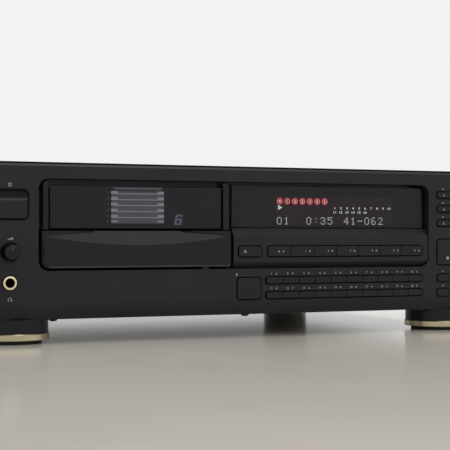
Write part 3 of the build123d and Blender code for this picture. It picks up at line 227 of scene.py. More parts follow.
@dataclass(frozen=True)
class MouldedPlastic:
    """Injection-moulded ABS or polystyrene. The spark-eroded mould leaves a fine, even, satin grain."""

    name: str
    colour: str
    pale: str
    roughness: float = 0.48
    grain_mm: float = 0.7
    grain_depth_mm: float = 0.02
    cloud_mm: float = 28.0
    ior: float = 1.53
    specular: float = 0.22
    unevenness: float = 0.07

    def build(self) -> bpy.types.Material:
        """Make the material. The 0.1 mm mould grain is drawn at grain_mm, the finest that shows.

        Returns:
            The material.
        """
        material, shader = new_material(self.name, self.colour)
        tree = material.node_tree
        cloud = noise(tree, self.cloud_mm, 3.0)
        grain = noise(tree, self.grain_mm)
        tree.links.new(two_tone(tree, cloud, self.colour, self.pale), shader.inputs["Base Color"])
        roughness_range(tree, shader, grain, self.roughness - self.unevenness, self.roughness + self.unevenness)
        relief(tree, shader, grain, self.grain_depth_mm)
        shader.inputs["IOR"].default_value = self.ior
        shader.inputs["Specular IOR Level"].default_value = self.specular
        return material


@dataclass(frozen=True)
class BakedEnamel:
    """Baked enamel on sheet steel. The spray leaves a fine wrinkle that breaks up the reflection."""

    name: str
    colour: str
    pale: str
    wrinkle_mm: float = 1.1
    wrinkle_depth_mm: float = 0.04
    roughness: float = 0.42
    specular: float = 0.25
    cloud_mm: float = 35.0
    rub_mm: float = 6.0
    shinier: float = 0.06
    duller: float = 0.08
    ior: float = 1.5

    def build(self) -> bpy.types.Material:
        """Make the material.

        Returns:
            The material.
        """
        material, shader = new_material(self.name, self.colour)
        tree = material.node_tree
        cells = add_node(tree, "ShaderNodeTexVoronoi", {"feature": "SMOOTH_F1"},
                         {"Vector": object_coordinates(tree), "Scale": 1.0 / (self.wrinkle_mm * MM)})
        cloud = noise(tree, self.cloud_mm)
        tree.links.new(two_tone(tree, cloud, self.colour, self.pale), shader.inputs["Base Color"])
        roughness_range(tree, shader, noise(tree, self.rub_mm), self.roughness - self.shinier,
                        self.roughness + self.duller)
        relief(tree, shader, cells.outputs["Distance"], self.wrinkle_depth_mm, 0.6)
        shader.inputs["IOR"].default_value = self.ior
        shader.inputs["Specular IOR Level"].default_value = self.specular
        return material


@dataclass(frozen=True)
class BrushedMetal:
    """Rolled, drawn or turned metal. The tool's fine lines stretch its highlight across them."""

    name: str
    colour: str
    dark: str
    roughness: float
    stretch: tuple[float, float, float] = (1.0, 1.0, 1.0)
    line_mm: float = 0.5
    line_depth_mm: float = 0.01
    patch_mm: float = 14.0
    shinier: float = 0.06
    duller: float = 0.1

    def build(self) -> bpy.types.Material:
        """Make the material. stretch thins the lines along the axes with the larger factors.

        Returns:
            The material.
        """
        material, shader = new_material(self.name, self.colour)
        tree = material.node_tree
        lines = noise(tree, self.line_mm, 2.0, self.stretch)
        patches = noise(tree, self.patch_mm, 3.0)
        tree.links.new(two_tone(tree, patches, self.dark, self.colour), shader.inputs["Base Color"])
        roughness_range(tree, shader, lines, self.roughness - self.shinier, self.roughness + self.duller)
        relief(tree, shader, lines, self.line_depth_mm, 0.5)
        shader.inputs["Metallic"].default_value = 1.0
        return material


@dataclass(frozen=True)
class SmokedAcrylic:
    """Extruded smoked acrylic. It mirrors the room weakly and darkens what lies behind it."""

    name: str
    colour: str
    cover: float = 0.6
    roughness: float = 0.12
    specular: float = 0.42
    smear_mm: float = 9.0
    duller: float = 0.05
    ior: float = 1.49

    def build(self) -> bpy.types.Material:
        """Make the material. cover is the share of light that each face of the sheet holds back.

        Returns:
            The material.
        """
        material, shader = new_material(self.name, self.colour)
        tree = material.node_tree
        roughness_range(tree, shader, noise(tree, self.smear_mm), self.roughness, self.roughness + self.duller)
        shader.inputs["IOR"].default_value = self.ior
        shader.inputs["Specular IOR Level"].default_value = self.specular
        shader.inputs["Alpha"].default_value = self.cover
        return material


@dataclass(frozen=True)
class Rubber:
    """Moulded nitrile rubber. It is matt, nearly black and slightly dusty."""

    name: str
    colour: str
    dust: str
    dust_mm: float = 5.0
    dust_span: Point = (0.45, 0.8)
    grain_mm: float = 0.9
    grain_depth_mm: float = 0.03
    roughness: float = 0.75
    ior: float = 1.52

    def build(self) -> bpy.types.Material:
        """Make the material. Dust lies only where its noise is high.

        Returns:
            The material.
        """
        material, shader = new_material(self.name, self.colour)
        tree = material.node_tree
        tree.links.new(two_tone(tree, noise(tree, self.dust_mm, 4.0), self.colour, self.dust, self.dust_span),
                       shader.inputs["Base Color"])
        relief(tree, shader, noise(tree, self.grain_mm), self.grain_depth_mm)
        shader.inputs["Roughness"].default_value = self.roughness
        shader.inputs["IOR"].default_value = self.ior
        return material


@dataclass(frozen=True)
class CircuitLaminate:
    """Glass-filled laminate under solder resist. Copper tracks show through it as paler lines."""

    name: str
    colour: str
    track: str
    track_mm: float = 3.2
    track_share: float = 0.06
    track_depth_mm: float = 0.04
    roughness: float = 0.32

    def build(self) -> bpy.types.Material:
        """Make the material. The 0.5 mm tracks are drawn track_mm apart, far enough to show.

        Returns:
            The material.
        """
        material, shader = new_material(self.name, self.colour)
        tree = material.node_tree
        ground = linear(self.colour)
        tracks = add_node(tree, "ShaderNodeTexBrick", {"offset": 0.37, "squash": 1.6},
                          {"Vector": object_coordinates(tree), "Scale": 1.0 / (self.track_mm * MM * 2.0),
                           "Mortar Size": self.track_share, "Color1": ground, "Color2": ground,
                           "Mortar": linear(self.track)})
        tree.links.new(tracks.outputs["Color"], shader.inputs["Base Color"])
        relief(tree, shader, tracks.outputs["Fac"], self.track_depth_mm, 0.6)
        shader.inputs["Roughness"].default_value = self.roughness
        return material


@dataclass(frozen=True)
class StackedIron:
    """Varnished transformer stampings. Each sheet's edge shows as a thin line."""

    name: str
    colour: str
    edge: str
    sheet_mm: float = 1.0
    edge_depth_mm: float = 0.05
    roughness: float = 0.55
    metallic: float = 0.4

    def build(self) -> bpy.types.Material:
        """Make the material. The 0.5 mm sheets are drawn 1 mm thick so that they show.

        Returns:
            The material.
        """
        material, shader = new_material(self.name, self.colour)
        tree = material.node_tree
        sheets = add_node(tree, "ShaderNodeTexWave", {"bands_direction": "Y"},
                          {"Vector": object_coordinates(tree), "Scale": WAVE_PERIOD / (self.sheet_mm * MM),
                           "Distortion": 0.4})
        tree.links.new(two_tone(tree, sheets.outputs["Fac"], self.colour, self.edge, (0.2, 0.9)),
                       shader.inputs["Base Color"])
        relief(tree, shader, sheets.outputs["Fac"], self.edge_depth_mm, 0.5)
        shader.inputs["Roughness"].default_value = self.roughness
        shader.inputs["Metallic"].default_value = self.metallic
        return material


@dataclass(frozen=True)
class Ink:
    """Screen-printed enamel ink. It is matt and a touch thin at its edges."""

    name: str
    colour: str
    worn: str
    wear_mm: float = 1.5
    wear_span: Point = (0.25, 0.5)
    roughness: float = 0.6

    def build(self) -> bpy.types.Material:
        """Make the material.

        Returns:
            The material.
        """
        material, shader = new_material(self.name, self.colour)
        tree = material.node_tree
        tree.links.new(two_tone(tree, noise(tree, self.wear_mm, 3.0), self.worn, self.colour, self.wear_span),
                       shader.inputs["Base Color"])
        shader.inputs["Roughness"].default_value = self.roughness
        return material


@dataclass(frozen=True)
class Phosphor:
    """Lit phosphor on the display's anodes. It glows evenly and hides its own shading."""

    name: str
    colour: str
    strength: float
    unlit: str = "#101010"
    coat_mm: float = 2.0
    coat_span: Point = (0.2, 0.6)
    roughness: float = 0.5

    def worn(self) -> str:
        """The colour where the coating is thin, an eighth darker."""
        return "#" + "".join(f"{int(self.colour[i:i + 2], 16) * 7 // 8:02x}" for i in (1, 3, 5))

    def build(self) -> bpy.types.Material:
        """Make the material, with a faint unevenness of the coating.

        Returns:
            The material.
        """
        material, shader = new_material(self.name, self.colour)
        tree = material.node_tree
        tree.links.new(two_tone(tree, noise(tree, self.coat_mm), self.worn(), self.colour, self.coat_span),
                       shader.inputs["Emission Color"])
        shader.inputs["Emission Strength"].default_value = self.strength
        shader.inputs["Base Color"].default_value = linear(self.unlit)
        shader.inputs["Roughness"].default_value = self.roughness
        return material


# Finish of each material slot in the record.
SLOT_FINISHES: dict[str, Finish] = {
    "panel_plastic": MouldedPlastic("panel_abs_satin", "#1b1b20", "#1f1f23", 0.46),
    "key_plastic": MouldedPlastic("key_abs_satin", "#17171b", "#1a1a1e", 0.42, 0.5, 0.012),
    "front_gloss": MouldedPlastic("front_abs_semigloss", "#15151a", "#18181d", 0.34, 0.9, 0.006, specular=0.2),
    "magazine_plastic": MouldedPlastic("magazine_abs_moulded", "#27272a", "#2e2e31", 0.5),
    "carrier_plastic": MouldedPlastic("carrier_polystyrene_moulded", "#4a4a4d", "#525256", 0.42),
    "drawer_plastic": MouldedPlastic("drawer_abs_moulded", "#2b2b2e", "#313135", 0.45),
    "loader_plastic": MouldedPlastic("loader_glass_filled_abs", "#303033", "#3b3b3f", 0.55, 1.2, 0.04, 12.0),
    "part_plastic": MouldedPlastic("component_epoxy_moulded", "#1c1c1f", "#26262a", 0.4, 0.6, 0.02, 9.0),
    "foot_plastic": MouldedPlastic("foot_abs_moulded", "#0f0f11", "#131315", 0.34, 0.6, 0.012),
    "gear_acetal": MouldedPlastic("gear_acetal_moulded", "#d9d8d1", "#e4e3dd", 0.4, 0.6, 0.01, 10.0, 1.48),
    "window_acrylic": SmokedAcrylic("window_acrylic_smoked", "#141416"),
    # Dark coated glass reflects like a very smooth moulding.
    "tube_glass": MouldedPlastic("tube_glass_dark_coated", "#181214", "#1d1618", 0.16, 2.0, 0.002, 20.0, 1.52),
    "cover_paint": BakedEnamel("cover_steel_enamelled", "#161618", "#1a1a1c", roughness=0.5, specular=0.08),
    "rear_paint": BakedEnamel("rear_steel_enamelled", "#1c1c1e", "#232325"),
    "chassis_steel": BrushedMetal("chassis_steel_zinc_plated", "#c3c5c4", "#9fa3a3", 0.38, (1.0, 0.05, 1.0)),
    "motor_steel": BrushedMetal("motor_steel_plated", "#b9bab9", "#94979a", 0.3, (1.0, 0.08, 1.0)),
    "transformer_iron": StackedIron("transformer_iron_varnished", "#3a332c", "#5b5248"),
    "board_laminate": CircuitLaminate("board_laminate_green", "#1c4a2a", "#2c6a3c"),
    "collar_gold": BrushedMetal("collar_brass_gold_plated", "#efe2c6", "#dcc9a0", 0.24, (1.0, 1.0, 1.0), 0.8, 0.004),
    "gland_rubber": Rubber("gland_rubber_moulded", "#17171a", "#2a2a2c"),
    "pad_rubber": Rubber("pad_rubber_moulded", "#121214", "#262628"),
    "ring_aluminium": BrushedMetal("ring_aluminium_gold_anodised", "#cfc6a8", "#a89d7c", 0.26,
                                   (0.06, 0.06, 3.0), 0.5, 0.006, 40.0),
    "screw_steel": BrushedMetal("screw_steel_blackened", "#3b3b3d", "#28282a", 0.35),
}

# Finishes of what the scene adds: inks, lit phosphor, the knob, painted shade on edges, gaps, the collar and screw
# heads, painted highlights on edges, fittings.
PRINT_GREY = Ink("print_ink_grey", "#a3a3a5", "#8b8b8e")
PRINT_AMBER = Ink("print_ink_amber", "#b8a074", "#917f5c")
PRINT_SLATE = Ink("print_ink_slate", "#43444c", "#3b3c43")
PRINT_SILVER = Ink("print_ink_silver_blue", "#7d7f88", "#6c6e77")
PRINT_DIM = Ink("print_ink_dim_grey", "#5c5d62", "#505156")
PRINT_BLUE = Ink("print_ink_blue_grey", "#4b5060", "#424755")
# Black ink on the window's rear face, also used for painted shade in the screw recesses.
BLACK_PRINT_AND_SHADE = Ink("black_window_print_and_painted_shade", "#0a0a0b", "#0d0d0e")
# Dark brown rings laid on the socket's brass collar as painted shade at its rim and bore.
BRASS_SHADE = Ink("collar_ring_painted_shade", "#17120a", "#100c07")
PHOSPHOR_WHITE = Phosphor("phosphor_white_lit", "#d6dedd", 4.2)
PHOSPHOR_RED = Phosphor("phosphor_red_lit", "#e01620", 4.6)
PHOSPHOR_DEEP = Phosphor("phosphor_red_dim", "#a8121e", 3.4)
PHOSPHOR_PALE = Phosphor("phosphor_pale_lit", "#f8dcdc", 4.0)
ANODE_HAZE = Phosphor("anode_red_haze", "#46202a", 0.8)
GRIP_PLASTIC = MouldedPlastic("knob_abs_satin", "#17171a", "#1a1a1d", 0.28, 0.5, 0.004, specular=0.2)
BOARD_BLACK = CircuitLaminate("front_board_laminate_black", "#0b0c0c", "#121413")
# Near-black plastic laid on key openings' edges and in their gaps as painted shade.
PAINTED_EDGE_SHADE = MouldedPlastic("opening_edge_painted_shade", "#050506", "#070708", 0.7, specular=0.05)
# Paler plastic laid on the drawer's lower chamfer as a painted highlight.
EDGE_HIGHLIGHT = MouldedPlastic("edge_abs_painted_highlight", "#47474a", "#4e4e51", 0.3, 0.5, 0.004)
# Paler plastic on the power key's ridge as a painted highlight.
RIDGE_HIGHLIGHT = MouldedPlastic("ridge_abs_painted_highlight", "#39393c", "#3e3e41", 0.3, 0.5, 0.004)
# Darker plastic on the power key's slope as painted shade.
FACET_SHADE = MouldedPlastic("key_facet_abs_gloss", "#151518", "#18181b", 0.3, 0.5, 0.004, specular=0.08)
# Matt near-black plastic, darkened below the cap's tone as painted shade for the knob's side in its well.
BARREL_SHADE = MouldedPlastic("knob_barrel_abs_matt_painted_shade", "#08080a", "#0b0b0d", 0.6, 0.5, 0.01, specular=0.05)
SOCKET_WHITE = MouldedPlastic("socket_collar_white", "#d8d6d0", "#e2e0da", 0.4)
SOCKET_RED = MouldedPlastic("socket_collar_red", "#a81f22", "#b52a2c", 0.4)

_built: dict[str, bpy.types.Material] = {}


def material_of(finish: Finish) -> bpy.types.Material:
    """Build a finish once and return its material.

    Args:
        finish: The finish.

    Returns:
        Its material.
    """
    if finish.name not in _built:
        _built[finish.name] = finish.build()
    return _built[finish.name]


# Meshes


class Symbol(Enum):
    """Plain symbols printed on keys and beside them."""

    EJECT = "eject"
    PLAY = "play"
    STOP = "stop"
    POWER = "power"
    RAMP = "ramp"
    PHONES = "phones"
    SKIP = "skip"
    DOT = "dot"
    PEAK = "peak"
    CORNER = "corner"
    FRAME = "frame"
    CROSS = "cross"


AMBER_MARKS = (Symbol.PEAK, Symbol.FRAME, Symbol.SKIP, Symbol.CORNER, Symbol.CROSS, Symbol.PLAY)
# A number or symbol, its place across and height from a corner, and its size.
Mark = tuple[Symbol | str, float, float, float]


def block(x0: float, x1: float, z0: float, z1: float) -> tuple[Point, Point, Point, Point]:
    """Corners of a rectangle between two places across and two heights."""
    return (x0, z0), (x1, z0), (x1, z1), (x0, z1)


# Outlines of each symbol's plates, where 1 is half the symbol's height.
SYMBOL_PLATES: dict[Symbol, tuple[tuple[Point, ...], ...]] = {
    Symbol.EJECT: (((-1.0, -0.2), (1.0, -0.2), (0.0, 1.0)), block(-1.0, 1.0, -1.0, -0.55)),
    Symbol.PLAY: (((-0.8, -1.0), (1.0, 0.0), (-0.8, 1.0)),),
    Symbol.STOP: (block(-1.0, 1.0, -1.0, 1.0),),
    Symbol.POWER: (block(-0.14, 0.14, 0.0, 1.15),),
    Symbol.RAMP: (((-3.2, -1.0), (3.2, -1.0), (3.2, 1.0)),),
    Symbol.PHONES: (block(-1.0, -0.52, -0.9, 0.05), block(0.52, 1.0, -0.9, 0.05)),
    Symbol.SKIP: (((-1.0, -1.0), (0.0, 0.0), (-1.0, 1.0)), ((0.0, -1.0), (1.0, 0.0), (0.0, 1.0))),
    Symbol.PEAK: (((-1.0, -1.0), (1.0, -1.0), (0.0, 1.0)),),
    Symbol.CORNER: (block(-1.0, -0.3, -1.0, 1.0), block(-0.3, 1.0, -1.0, -0.3)),
    Symbol.CROSS: (block(-1.0, 1.0, -0.3, 0.3), block(-0.3, 0.3, 0.3, 1.0), block(-0.3, 0.3, -1.0, -0.3)),
}
# Each symbol's line ring: outer radius and width in the same unit, start and turn in degrees, and sides.
SYMBOL_RINGS: dict[Symbol, tuple[float, float, float, float, int]] = {
    Symbol.FRAME: (1.1, 0.6, 45.0, 360.0, 4),
    Symbol.POWER: (1.0, 0.28, 120.0, 300.0, 24),
    Symbol.PHONES: (1.0, 0.24, 0.0, 180.0, 24),
}


@dataclass
class Sheet:
    """Collects flat, slightly thick marks that share one face of the object, and makes one piece of them."""

    name: str
    body: str
    finish: Finish
    depth: float
    slot: str | None = None
    lift: float = INK_LIFT
    sink: float = INK_SINK
    mesh: bmesh.types.BMesh = field(default_factory=bmesh.new)

    @property
    def span(self) -> Point:
        """Where the marks start and end on y, in metres."""
        return (FACE_Y + self.depth - self.lift) * MM, (FACE_Y + self.depth + self.sink) * MM

    def plate(self, outline: Sequence[Point]) -> None:
        """Add a closed plate with that outline.

        Args:
            outline: Corners as x and z in millimetres, anticlockwise seen from the front.
        """
        front, rear = self.span
        near = [self.mesh.verts.new((x * MM, front, z * MM)) for x, z in outline]
        far = [self.mesh.verts.new((x * MM, rear, z * MM)) for x, z in outline]
        self.mesh.faces.new(near)
        self.mesh.faces.new(far[::-1])
        for i, _ in enumerate(near):
            j = (i + 1) % len(near)
            self.mesh.faces.new((near[j], near[i], far[i], far[j]))

    def bar(self, x0: float, x1: float, z0: float, z1: float) -> None:
        """Add a rectangle between two places across and two heights."""
        self.plate(block(x0, x1, z0, z1))

    def band(self, inner: Sequence[Point], outer: Sequence[Point]) -> None:
        """Add a closed band between two outlines with as many points each.

        Args:
            inner: Inner outline, as x and z in millimetres.
            outer: Outer outline.
        """
        near_in, near_out, far_in, far_out = (
            [self.mesh.verts.new((x * MM, y, z * MM)) for x, z in outline]
            for y in self.span for outline in (inner, outer))
        for i, _ in enumerate(inner):
            j = (i + 1) % len(inner)
            for a, b in ((near_in, near_out), (near_out, far_out), (far_out, far_in), (far_in, near_in)):
                self.mesh.faces.new((a[i], b[i], b[j], a[j]))

    def disc(self, x: float, z: float, radius: float, sides: int = 20) -> None:
        """Add a round plate."""
        self.plate([(x + radius * math.cos(a), z + radius * math.sin(a))
                    for a in (2 * math.pi * i / sides for i in range(sides))])

    def ring(self, x: float, z: float, radius: float, width: float, start: float = 0.0, turn: float = 360.0,
             sides: int = 24) -> None:
        """Add a ring, or part of one, as a row of short plates.

        Args:
            x: Place across of the centre.
            z: Height of the centre.
            radius: Outer radius.
            width: Width of the line.
            start: Angle where the part starts, in degrees from +x.
            turn: Angle that the part spans.
            sides: Number of plates.
        """
        for i in range(sides):
            a, b = (math.radians(start + turn * (i + k) / sides) for k in (0, 1))
            inner = radius - width
            self.plate([(x + inner * math.cos(a), z + inner * math.sin(a)),
                        (x + radius * math.cos(a), z + radius * math.sin(a)),
                        (x + radius * math.cos(b), z + radius * math.sin(b)),
                        (x + inner * math.cos(b), z + inner * math.sin(b))])

    def number(self, text: str, x: float, z: float, height: float, widen: float = 1.0,
               weight: float = 0.012) -> None:
        """Add digits, centred on a point.

        Args:
            text: The digits.
            x: Place across of their middle.
            z: Height of their middle.
            height: Height of a digit in millimetres.
            widen: Factor on their width.
            weight: Growth of their strokes, as a share of the font's size.
        """
        curve = bpy.data.curves.new("digits", "FONT")
        curve.body = text
        curve.offset = weight
        curve.align_x = "CENTER"
        curve.resolution_u = 3
        holder = bpy.data.objects.new("digits", curve)
        flat = bpy.data.meshes.new_from_object(holder)
        low = min(v.co.y for v in flat.vertices)
        high = max(v.co.y for v in flat.vertices)
        left = min(v.co.x for v in flat.vertices)
        right = max(v.co.x for v in flat.vertices)
        scale = height / (high - low)
        letters = bmesh.new()
        letters.from_mesh(flat)
        front, rear = self.span
        for vert in letters.verts:
            across = (vert.co.x - (left + right) / 2) * scale * widen
            up = (vert.co.y - (low + high) / 2) * scale
            vert.co = ((x + across) * MM, front, (z + up) * MM)
        thick = bmesh.ops.extrude_face_region(letters, geom=letters.faces[:])
        for item in thick["geom"]:
            if isinstance(item, bmesh.types.BMVert):
                item.co.y += rear - front
        merged = bpy.data.meshes.new("digits")
        letters.to_mesh(merged)
        self.mesh.from_mesh(merged)
        letters.free()
        bpy.data.objects.remove(holder)
        for data in (flat, merged):
            bpy.data.meshes.remove(data)
        bpy.data.curves.remove(curve)

    def symbol(self, kind: Symbol, x: float, z: float, size: float) -> None:
        """Add a plain symbol, centred on a point.

        Args:
            kind: Which symbol.
            x: Place across of its middle.
            z: Height of its middle.
            size: Its height in millimetres.
        """
        half = size / 2
        if kind is Symbol.DOT:
            self.disc(x, z, half)
        if kind in SYMBOL_RINGS:
            radius, width, first, turn, sides = SYMBOL_RINGS[kind]
            self.ring(x, z, half * radius, half * width, first, turn, sides)
        for outline in SYMBOL_PLATES.get(kind, ()):
            self.plate([(x + half * across, z + half * up) for across, up in outline])

    def finish_piece(self) -> bpy.types.Object:
        """Turn the collected marks into a piece that rides on the body."""
        return make_piece(self.name, self.mesh, self.finish, self.body)


def make_piece(name: str, mesh: bmesh.types.BMesh, finish: Finish, body: str,
               smooth: bool = False) -> bpy.types.Object:
    """Make an object from a bmesh, dress it and let it ride on a body.

    Args:
        name: Name of the piece.
        mesh: Its mesh in metres, which is freed.
        finish: Its finish.
        body: Name of the CAD body that it moves with.
        smooth: Whether its faces are shaded smooth up to sharp edges.

    Returns:
        The object.
    """
    bmesh.ops.recalc_face_normals(mesh, faces=mesh.faces[:])
    data = bpy.data.meshes.new(name)
    mesh.to_mesh(data)
    mesh.free()
    if smooth:
        data.shade_smooth()
        data.set_sharp_from_angle(angle=math.radians(32.0))
    data.materials.append(material_of(finish))
    piece = bpy.data.objects.new(name, data)
    bpy.context.scene.collection.objects.link(piece)
    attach(piece, body)
    LOG.info("%s: %d faces on %s", name, len(data.polygons), body)
    return piece


def turned(profile: Sequence[Point], centre: tuple[float, float, float], axis: Vector,
           sides: int = 48, flutes: float = 0.0, mesh: bmesh.types.BMesh | None = None) -> bmesh.types.BMesh:
    """Turn a closed profile round an axis.

    Args:
        profile: Radius and distance along the axis, in millimetres, from one end on the axis or off it, round
            the outside and back.
        centre: Point on the axis at distance 0, in millimetres.
        axis: Direction of the axis.
        sides: Number of steps round.
        flutes: Depth of the grip's flutes on the widest points, every second step.
        mesh: Mesh to add to, or none for a new one.

    Returns:
        The mesh.
    """
    target = mesh or bmesh.new()
    axis = axis.normalized()
    across = axis.orthogonal().normalized()
    up = axis.cross(across)
    origin = Vector(centre)
    widest = max(radius for radius, _ in profile) - 0.15
    rings = []
    for step in range(sides):
        angle = 2 * math.pi * step / sides
        cut = flutes if step % 2 else 0.0
        direction = across * math.cos(angle) + up * math.sin(angle)
        rings.append([target.verts.new((origin + direction * (radius - (cut if radius > widest else 0.0))
                                        + axis * along) * MM) for radius, along in profile])
    count = len(profile)
    for step in range(sides):
        near, far = rings[step], rings[(step + 1) % sides]
        for i in range(count):
            j = (i + 1) % count
            if profile[i][0] > 0.0 or profile[j][0] > 0.0:
                target.faces.new((near[i], near[j], far[j], far[i]))
    bmesh.ops.remove_doubles(target, verts=target.verts[:], dist=1e-7)
    return target


def strip(mesh: bmesh.types.BMesh, x0: float, x1: float, low: Point, high: Point, lift: float = 0.04,
          sink: float = 0.2) -> None:
    """Add a thin strip that lies on a leaning face.

    Args:
        mesh: Mesh to add to.
        x0: Left end in millimetres.
        x1: Right end.
        low: Depth and height of its lower edge.
        high: Depth and height of its upper edge.
        lift: What it stands out of the face.
        sink: What it goes into the face.
    """
    run, rise = high[0] - low[0], high[1] - low[1]
    length = math.hypot(run, rise)
    forward, up = -rise / length, run / length
    corners = [mesh.verts.new((x * MM, (FACE_Y + depth + forward * out) * MM, (z + up * out) * MM))
               for x in (x0, x1) for depth, z in (low, high) for out in (lift, -sink)]
    bmesh.ops.convex_hull(mesh, input=corners)


def rounded(x0: float, x1: float, z0: float, z1: float, corner: float, steps: int = 6) -> list[Point]:
    """Outline of a rectangle with round corners, anticlockwise from the lower right corner.

    Args:
        x0: Left side.
        x1: Right side.
        z0: Lower side.
        z1: Upper side.
        corner: Radius of the corners.
        steps: Steps in each corner.

    Returns:
        The outline's points.
    """
    centres = [(x1 - corner, z0 + corner, -90.0), (x1 - corner, z1 - corner, 0.0),
               (x0 + corner, z1 - corner, 90.0), (x0 + corner, z0 + corner, 180.0)]
    return [(x + corner * math.cos(math.radians(start + 90.0 * i / steps)),
             z + corner * math.sin(math.radians(start + 90.0 * i / steps)))
            for x, z, start in centres for i in range(steps + 1)]


def box_of(node: str) -> tuple[float, float, float, float, float, float]:
    """Left, right, front depth, rear depth, low and high of a CAD node, in millimetres."""
    low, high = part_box(node)
    return (low.x / MM, high.x / MM, low.y / MM - FACE_Y, high.y / MM - FACE_Y, low.z / MM, high.z / MM)


def key_span(first: str, last: str | None = None) -> tuple[float, float, float, float]:
    """Left, right, low and high of a key without its flange, or of a row of keys.

    Args:
        first: Node of the key, or of the row's first one.
        last: Node of the row's last key.

    Returns:
        The four places in millimetres.
    """
    left = box_of(first)[0]
    _, right, _, _, low, high = box_of(last or first)
    return left, right, low + KEYS.flange, high - KEYS.flange


# Sub-assemblies


@dataclass(frozen=True)
class KeyLayout:
    """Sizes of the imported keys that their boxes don't tell, for the classes that print or edge them."""

    panel_cap_depth: float = -0.8
    moulding_cap_depth: float = -0.2
    moulding_face: float = 0.6
    flange: float = 1.0
    gap: float = 0.2
    play: float = 0.35
    corner: float = 2.0
    power_gap: float = 1.0
    power_corner: float = 4.2
    ridge_drop: float = 7.0
    slope_lean: float = 0.375
    column_pitch: float = 24.0
    mode_cap: Point = (20.6, 5.3)
    mode_pitch: float = 11.6
    function_cap: Point = (11.3, 6.2)
    function_pitch: float = 11.85


KEYS = KeyLayout()


@dataclass
class SolidFinishes:
    """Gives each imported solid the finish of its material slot."""

    overrides: dict[str, Finish] = field(default_factory=dict)

    def dress(self) -> None:
        """Put the finishes on every node's slots."""
        for name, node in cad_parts.items():
            for place in node.material_slots:
                slot = place.material.name.split(".")[0] if place.material else ""
                finish = self.overrides.get(name) or SLOT_FINISHES.get(slot)
                if finish is None:
                    LOG.warning("%s: no finish for slot %s", name, slot)
                    continue
                place.material = material_of(finish)
            LOG.info("%s dressed", name)


@dataclass
class PanelPrint:
    """Numbers over the number keys and plain symbols beside the controls, printed on the front panel."""

    number_height: float = 1.8
    number_offset: float = 4.2
    amber_offset: float = 8.6
    amber_size: float = 1.4
    label_rise: float = 1.7
    key_gap: float = 0.4
    key_count: int = 10
    power_z: float = 115.8
    power_size: float = 2.8
    ramp_rise: float = 4.2
    ramp_size: float = 1.5
    phones_z: float = 33.2
    phones_size: float = 3.0
    eject_shift: float = -0.6
    eject_size: float = 2.0
    dot_offset: float = 5.6
    dot_rise: float = 1.4
    dot_size: float = 1.1

    def number_rows(self, numbers: Sheet, amber: Sheet) -> None:
        """Print a number and an amber mark over each number key.

        Args:
            numbers: Sheet of the numbers.
            amber: Sheet of the amber marks.
        """
        for row, node in enumerate(("number_keys_upper", "number_keys_lower")):
            left, right, _, _, _, top = box_of(node)
            pitch = (right - left + self.key_gap) / self.key_count
            for index in range(self.key_count):
                x = left + index * pitch
                place = row * self.key_count + index
                numbers.number(str(place + 1), x + self.number_offset, top + self.label_rise, self.number_height)
                amber.symbol(AMBER_MARKS[place % len(AMBER_MARKS)], x + self.amber_offset, top + self.label_rise,
                             self.amber_size)

    def build(self) -> None:
        """Print the panel."""
        grey = Sheet("panel_numbers", "player", PRINT_GREY, 0.0, "panel_plastic")
        amber = Sheet("panel_amber_marks", "player", PRINT_AMBER, 0.0, "panel_plastic")
        self.number_rows(grey, amber)
        left, right, _, _, _, high = box_of("level_knob")
        middle = (left + right) / 2
        grey.symbol(Symbol.POWER, middle, self.power_z, self.power_size)
        grey.symbol(Symbol.RAMP, middle, high + self.ramp_rise, self.ramp_size)
        grey.symbol(Symbol.PHONES, middle, self.phones_z, self.phones_size)
        left, _, _, _, _, high = box_of("open_key")
        grey.symbol(Symbol.EJECT, left + self.eject_shift, high + self.label_rise, self.eject_size)
        for node, pitch in (("function_keys", KEYS.function_pitch), ("mode_keys", KEYS.mode_pitch)):
            left, _, _, _, low, high = box_of(node)
            for column in (left, left + KEYS.column_pitch):
                for row in range(round((high - low) / pitch)):
                    grey.symbol(Symbol.DOT, column + self.dot_offset, high + self.dot_rise - row * pitch,
                                self.dot_size)
        grey.finish_piece()
        amber.finish_piece()


